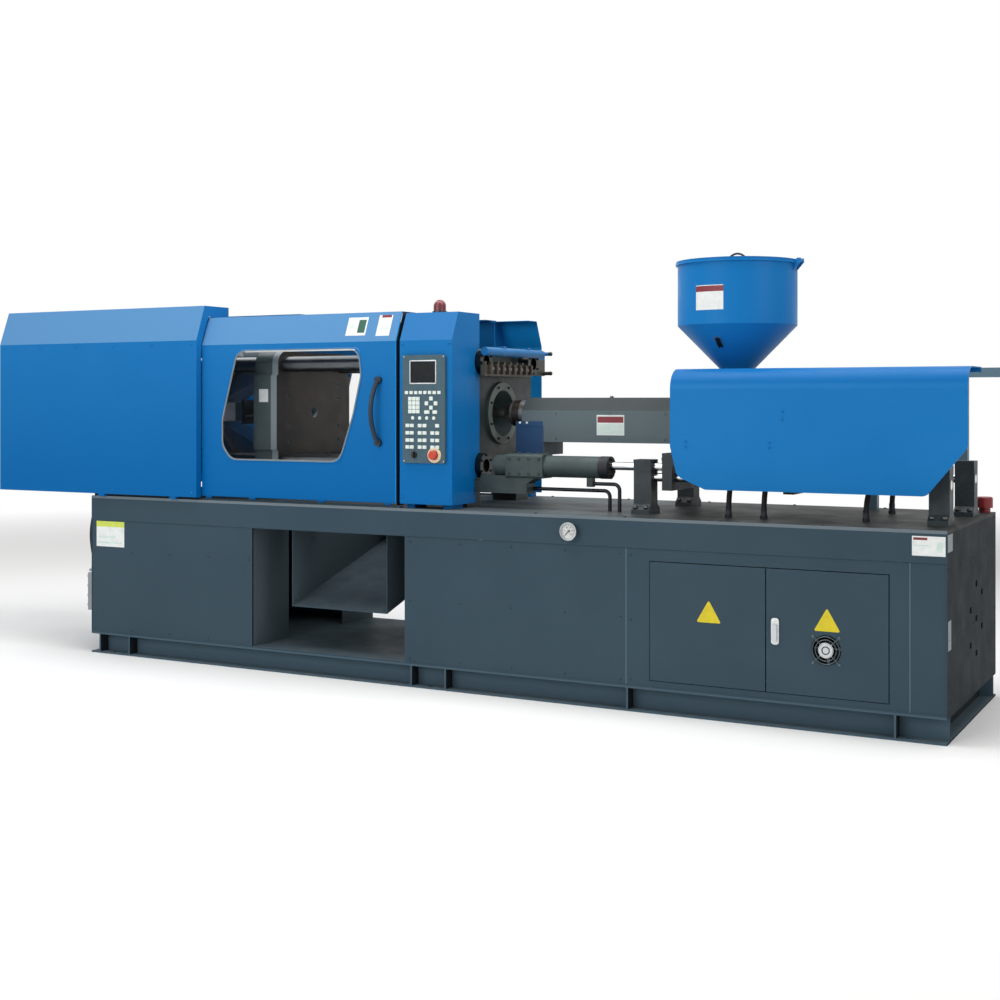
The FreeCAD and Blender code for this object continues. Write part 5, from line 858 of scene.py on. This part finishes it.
def screwsOnSheets():  # button screws that hold the guards and panels, painted over with them
    left, middle = frontOf("base_panels", -1900, 300), frontOf("base_panels", 200, 300)
    rear = surfaceAt("base_panels", (200, 900, 300), (0, -1, 0))[1]
    end = surfaceAt("base_panels", (2500, 0, 300), (-1, 0, 0))[0]
    heights = (126, 380, 636)
    for row in (
            ("leftPanelScrews", "base", sheetScrew, "front", [(-2052, left, z) for z in (126, 510)], 5, (238, 0, 0)),
            ("middlePanelScrews", "base", sheetScrew, "front", [(-212, middle, z) for z in heights], 5, (250, 0, 0)),
            ("rearPanelScrews", "base", sheetScrew, "rear", [(-212, rear, z) for z in (126, 636)], 9, (250, 0, 0)),
            ("rearLeftPanelScrews", "base", sheetScrew, "rear", [(-2052, rear, z) for z in (126, 636)], 5,
             (238, 0, 0)),
            ("endPanelScrews", "base", sheetScrew, "right", [(end, -480, z) for z in heights], 5, (0, 240, 0)),
            ("clampCoverScrews", "base", guardScrew, "front", [(-2660, -532, 815), (-2660, -532, 1520)], 6,
             (248, 0, 0)),
            ("housingScrews", "base", guardScrew, "front", [(-262, -492, z) for z in (830, 1500)], 2, (238, 0, 0)),
            ("injectionGuardScrews", "carriage", guardScrew, "front",
             [(x, -380, z) for x, z in ((1020, 1068), (1020, 1088), (1370, 1068), (1370, 1088), (1422, 1180),
                                        (1422, 1210))]),
            ("barrelGuardScrews", "carriage", (buttonScrew, 5, "guardEnamel", "guard_grey"), "front",
             [(300, -104, 1085), (300, -104, 1195)], 3, (260, 0, 0)),
            ("surroundScrews", "base", sheetScrew, "front",
             [(832, frontOf("cabinet_surround", 832, 300), z) for z in (130, 370, 632)]),
            ("deckScrews", "base", (buttonScrew, 7, "blackenedSteel", "bare_steel"), "up",
             [(-2040, y, deckTop) for y in (-492, 492)], 11, (406, 0, 0))):
        copies(*row)


def boltsOnCastings():
    cylinderEnd = surfaceAt("clamp_cylinder", (-2900, 0, machineAxis), (1, 0, 0))[0]
    feet = [(x + 39 + along, y + across) for x in (752, 1964) for y in (-250, 250)
            for along in (-24, 24) for across in (-52, 52)]
    seats = [(x, y, surfaceAt("carriage_supports", (x, y, 1300), (0, 0, -1))[2]) for x, y in feet]
    knobs = [(surfaceAt("valve_manifold", (200, 388, z), (-1, 0, 0))[0] - 0.5, 388, z) for z in (1384, 1478)]
    ring("frontTieNutScrews", "base", blackCap[5], "right", [(17, y, z) for y, z in tieBars], 6, 46.8)
    ring("clampCylinderBolts", "tail", blackCap[11], "left", [(cylinderEnd, 0, machineAxis)], 8, 62)
    copies("supportBolts", "base", dullBolt[9], "up", [seat for seat in seats if seat[2] < 900])
    ring("cylinderCapScrews", "base", blackCap[5], "right", [(633, -250, 967)], 6, 36)
    copies("cylinderHeadScrews", "base", paintedCap, "front", [(168, -302, z) for z in (935, 999)], 4, (48, 0, 0))
    copies("cylinderTopScrews", "base", paintedCap, "up", [(168, y, 1019) for y in (-284, -216)], 4, (48, 0, 0))
    ring("hopperFlangeBolts", "carriage", (hexBolt, 5, "zincSteel", "bare_steel"), "up", [(1107, 0, 1317)], 4, 80, 45)
    copies("barrelCoverBolt", "carriage", dullBolt[8], "up", [(525, 0, 1266)])
    ring("injectionCapScrews", "carriage", blackCap[6], "right", [(1700, y, machineAxis) for y in (-190, 190)], 6, 50)
    copies("drivePlateScrews", "drive", blackCap[12], "right", [(1750, y, machineAxis) for y in (-190, 190)])
    ring("screwMotorScrews", "drive", blackCap[7], "right", [(1880, 0, machineAxis)], 6, 52)
    copies("carriagePlateBolts", "carriage", dullBolt[9], "left", [(884, y, 1010) for y in (-278, 278)])
    copies("limitKnobs", "base", (ballKnob, 10, "blackPlastic", "black_plastic"), "right", knobs)


def dressFixedPlaten():  # the locating ring's face, coil bodies and plugs along the valve rail
    ringFace = [(106, 0.05, 0), (142.5, 0.05, 0), (142.5, 0.8, 0), (141.6, 1.6, 0), (107, 1.6, 0), (106, 0.8, 0),
                (106, 0.05, 0)]
    ringPlace = standing(-23, 0, machineAxis, "right")
    keepPiece("locatingRing", smoothed(turnedMesh(ringFace, 96, ringPlace)), "base", "ringPaint", "bare_steel")
    ring("locatingRingScrews", "base", blackCap[6], "right", [(-21.4, 0, machineAxis)], 8, 126, 22.5)
    copies("valveCoils", "base", (keyBlock, (44, 15, 16), "brownPlastic", "black_plastic"), "right",
           [(41, -252, 1394)], 8, (0, 56, 0))
    copies("valvePlugs", "base", dullBolt[8, 8, 10], "right", [(41, -224, 1394)], 7, (0, 56, 0))


def threadOnTieBars():  # trapezoidal thread behind the adjusting nuts: one ring for each pitch
    thread = {"pitch": 6, "length": 78, "radius": 38.1}
    size = (thread["radius"], thread["radius"], thread["pitch"] * 0.96)
    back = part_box("tie_bars")[0].x * 1000
    copies("tieBarThreads", "base", (threadRing, size, "dullSteel", "bare_steel"), "right",
           [(back + 6, y, z) for y, z in tieBars], int(thread["length"] / thread["pitch"]), (thread["pitch"], 0, 0))


screwsOnSheets()
boltsOnCastings()
dressFixedPlaten()
threadOnTieBars()
print("screws, bolts and threads ready")

hopperLook = {"x": 1107, "radius": 251.5, "shoulder": 1570, "neck": 1400, "neckRadius": 72}


def onDrum(angle, z, lift):  # a point of the hopper's drum, the angle in degrees from +X
    reach = hopperLook["radius"] + lift
    turn = math.radians(angle)
    return Vector(metres(hopperLook["x"] + reach * math.cos(turn), reach * math.sin(turn), z))


def curvedLabel(name, start, end, z0, z1, bands, steps=16):  # a film wrapped round the drum, bands across it
    shape, layers = bmesh.new(), []
    foot, (lift, more) = labelLook["foot"], labelLook["curved"]
    for index, (low, high, finish) in enumerate([(0, 1, "labelFilm")] + bands):
        height = lift + more * index
        bottom, top = (z0 + (z1 - z0) * share for share in (low, high))
        grid = [[shape.verts.new(onDrum(start + (end - start) * step / steps, z, depth))
                 for z, depth in ((bottom, foot), (bottom, height), (top, height), (top, foot))]
                for step in range(steps + 1)]
        faces = [shape.faces.new((here[i - 1], after[i - 1], after[i], here[i]))
                 for here, after in zip(grid, grid[1:]) for i in range(4)]
        layers.append((faces + [shape.faces.new(grid[0]), shape.faces.new(grid[-1][::-1])], finish))
    keepLabel(name, "carriage", shape, layers)


curvedLabel("hopperLabel", -113, -84, 1627, 1729, [(0.74, 0.97, "wineFilm")])


def makeSightGlass():  # clear slot on the hopper's cone, low at the front, in an aluminium frame
    steep = Vector((hopperLook["radius"] - hopperLook["neckRadius"], hopperLook["shoulder"] - hopperLook["neck"]))
    slot = {"turn": math.radians(-96), "upCone": 0.46}
    out = Vector((math.cos(slot["turn"]), math.sin(slot["turn"]), 0))
    rise = (out * steep.x + Vector((0, 0, steep.y))).normalized()
    face = (out * steep.y - Vector((0, 0, steep.x))).normalized()
    across = rise.cross(face).normalized()
    middle = Vector((hopperLook["x"], 0, 0)) + out * (hopperLook["neckRadius"] + slot["upCone"] * steep.x)
    middle.z = hopperLook["neck"] + slot["upCone"] * steep.y
    place = Matrix((across, rise, face)).transposed().to_4x4()
    place.translation = Vector(metres(*middle))
    place = place @ Matrix.Scale(0.001, 4)
    for name, finish, paint, (wide, tall, corner), low, high in (
            ("sightFrame", "satinAluminium", "bare_steel", (17, 62, 10), 0.2, 4.5),
            ("sightGlass", "displayGlass", "clear_sheet", (11, 55, 8), 4.5, 5.2)):
        loop = roundedBox(-wide, wide, -tall, tall, corner)
        mesh = prismMesh([place @ Vector((p.x, p.y, height)) for p in loop] for height in (high, low))
        keepPiece(name, mesh, "carriage", finish, paint)


makeSightGlass()


def makeSwitchgear():  # behind the electrical doors: a row of contactors, relays and terminals on top-hat rails
    plate = surfaceAt("mounting_plate", (1400, -600, 500), (0, 1, 0))[1]
    rows = (("contactors", 500, (44, 82, 78), 48, 9, "blackPlastic", "black_plastic"),
            ("relays", 372, (26, 70, 60), 29, 15, "keypadPlastic", "panel_plastic"),
            ("terminals", 268, (10, 46, 38), 11, 40, "paleEnamel", "light_paint"),
            ("breakers", 180, (34, 60, 66), 37, 11, "ductEnamel", "duct_grey"))
    for name, z, size, pitch, count, finish, slot in rows:
        copies(name, "base", (keyBlock, size, finish, slot), "front", [(985, plate - 8.1, z)], count, (pitch, 0, 0))
    makeBlocks("switchgearRails", "base", "zincSteel", "bare_steel",
               [((960, plate - 8, row[1] - 17), (1470, plate - 0.05, row[1] + 17)) for row in rows], 1)


makeSwitchgear()
# two white beads on the splash guard's top edge: painted highlights standing for glints
copies("splashBeads", "carriage", (bead, 6, "keyPlastic", "light_paint"), "front", [(121, -104, 1153)], 2, (35, 0, 0))
for thing in templates:
    bpy.data.objects.remove(thing)
print("hopper and switchgear details ready")


def seenDirectly(tree):  # 1 for what the camera, a mirror or a clear sheet shows
    path = addNode(tree, "LightPath", {})
    seen = path["Is Camera Ray"]
    for other in ("Is Glossy Ray", "Is Transmission Ray"):
        seen = addNode(tree, "Math", {"operation": "MAXIMUM", 0: seen, 1: path[other]})[0]
    return seen


def buildRoom():  # a matt pale floor that runs out to white, in a white room that lights the object more dimly
    room = {"floorSize": 60.0, "whiteStart": 5.5, "whiteEnd": 11.0, "dim": 0.40}
    mesh = bpy.data.meshes.new("floor")
    half = room["floorSize"] / 2
    mesh.from_pydata([(-half, -half, 0), (half, -half, 0), (half, half, 0), (-half, half, 0)], [], [(0, 1, 2, 3)])
    floor = newObject("floor", mesh)
    material = bpy.data.materials.new("paleFloor")
    tree = emptyTree(material)
    place = addNode(tree, "TexCoord", {})["Object"]
    far = addNode(tree, "VectorMath", {"operation": "LENGTH", 0: place})["Value"]
    farShare = addNode(tree, "MapRange", {"From Min": room["whiteStart"], "From Max": room["whiteEnd"],
                                          "Value": far})["Result"]
    matt = addNode(tree, "BsdfDiffuse", {"Color": linear("#efefee")})
    white = addNode(tree, "Emission", {"Color": (1, 1, 1, 1), "Strength": 1.0})
    share = addNode(tree, "Math", {"operation": "MULTIPLY", 0: farShare, 1: seenDirectly(tree)})
    mix = addNode(tree, "MixShader", {0: share[0], 1: matt[0], 2: white[0]})
    addNode(tree, "OutputMaterial", {"Surface": mix[0]})
    mesh.materials.append(material)

    world = bpy.data.worlds.new("studio")
    bpy.context.scene.world = world
    tree = emptyTree(world)
    dim, white = (addNode(tree, "Background", {"Color": (1, 1, 1, 1), "Strength": strength})[0]
                  for strength in (room["dim"], 1.0))
    mix = addNode(tree, "MixShader", {0: seenDirectly(tree), 1: dim, 2: white})
    addNode(tree, "OutputWorld", {"Surface": mix[0]})


def buildLights():
    for name, place, aim, size, power in (
            ("overhead", (0.3, -0.4, 5.2), (0.0, 0.1, 0.8), (6.5, 3.0), 265),
            ("overheadLeft", (-5.2, 1.0, 5.0), (-2.4, 0, 1.2), (4.0, 3.0), 100),
            ("front", (-2.0, -7.5, 3.4), (-0.4, 0, 0.8), (5.0, 3.0), 200),
            ("rightSide", (6.5, -2.0, 3.2), (1.0, 0, 0.8), (3.0, 3.0), 85)):
        light = bpy.data.lights.new(name, "AREA")
        light.shape = "RECTANGLE"
        light.size, light.size_y = size
        light.energy = power
        lamp = newObject(name, light)
        lamp.location = place
        lamp.rotation_euler = (Vector(aim) - Vector(place)).to_track_quat("-Z", "Y").to_euler()


def buildCamera():
    view = {"place": (3.1328, -5.8912, 1.2546), "turn": 28.3, "lens": 52.03, "rise": -0.0998}
    data = bpy.data.cameras.new("camera")
    data.lens = view["lens"]
    data.sensor_width = 36.0
    data.shift_y = view["rise"]
    camera = newObject("camera", data)
    camera.location = view["place"]
    camera.rotation_euler = (math.radians(90), 0, math.radians(view["turn"]))
    bpy.context.scene.camera = camera


buildRoom()
buildLights()
buildCamera()
bpy.context.scene.view_settings.view_transform = "Standard"
print("room, lights and camera ready")
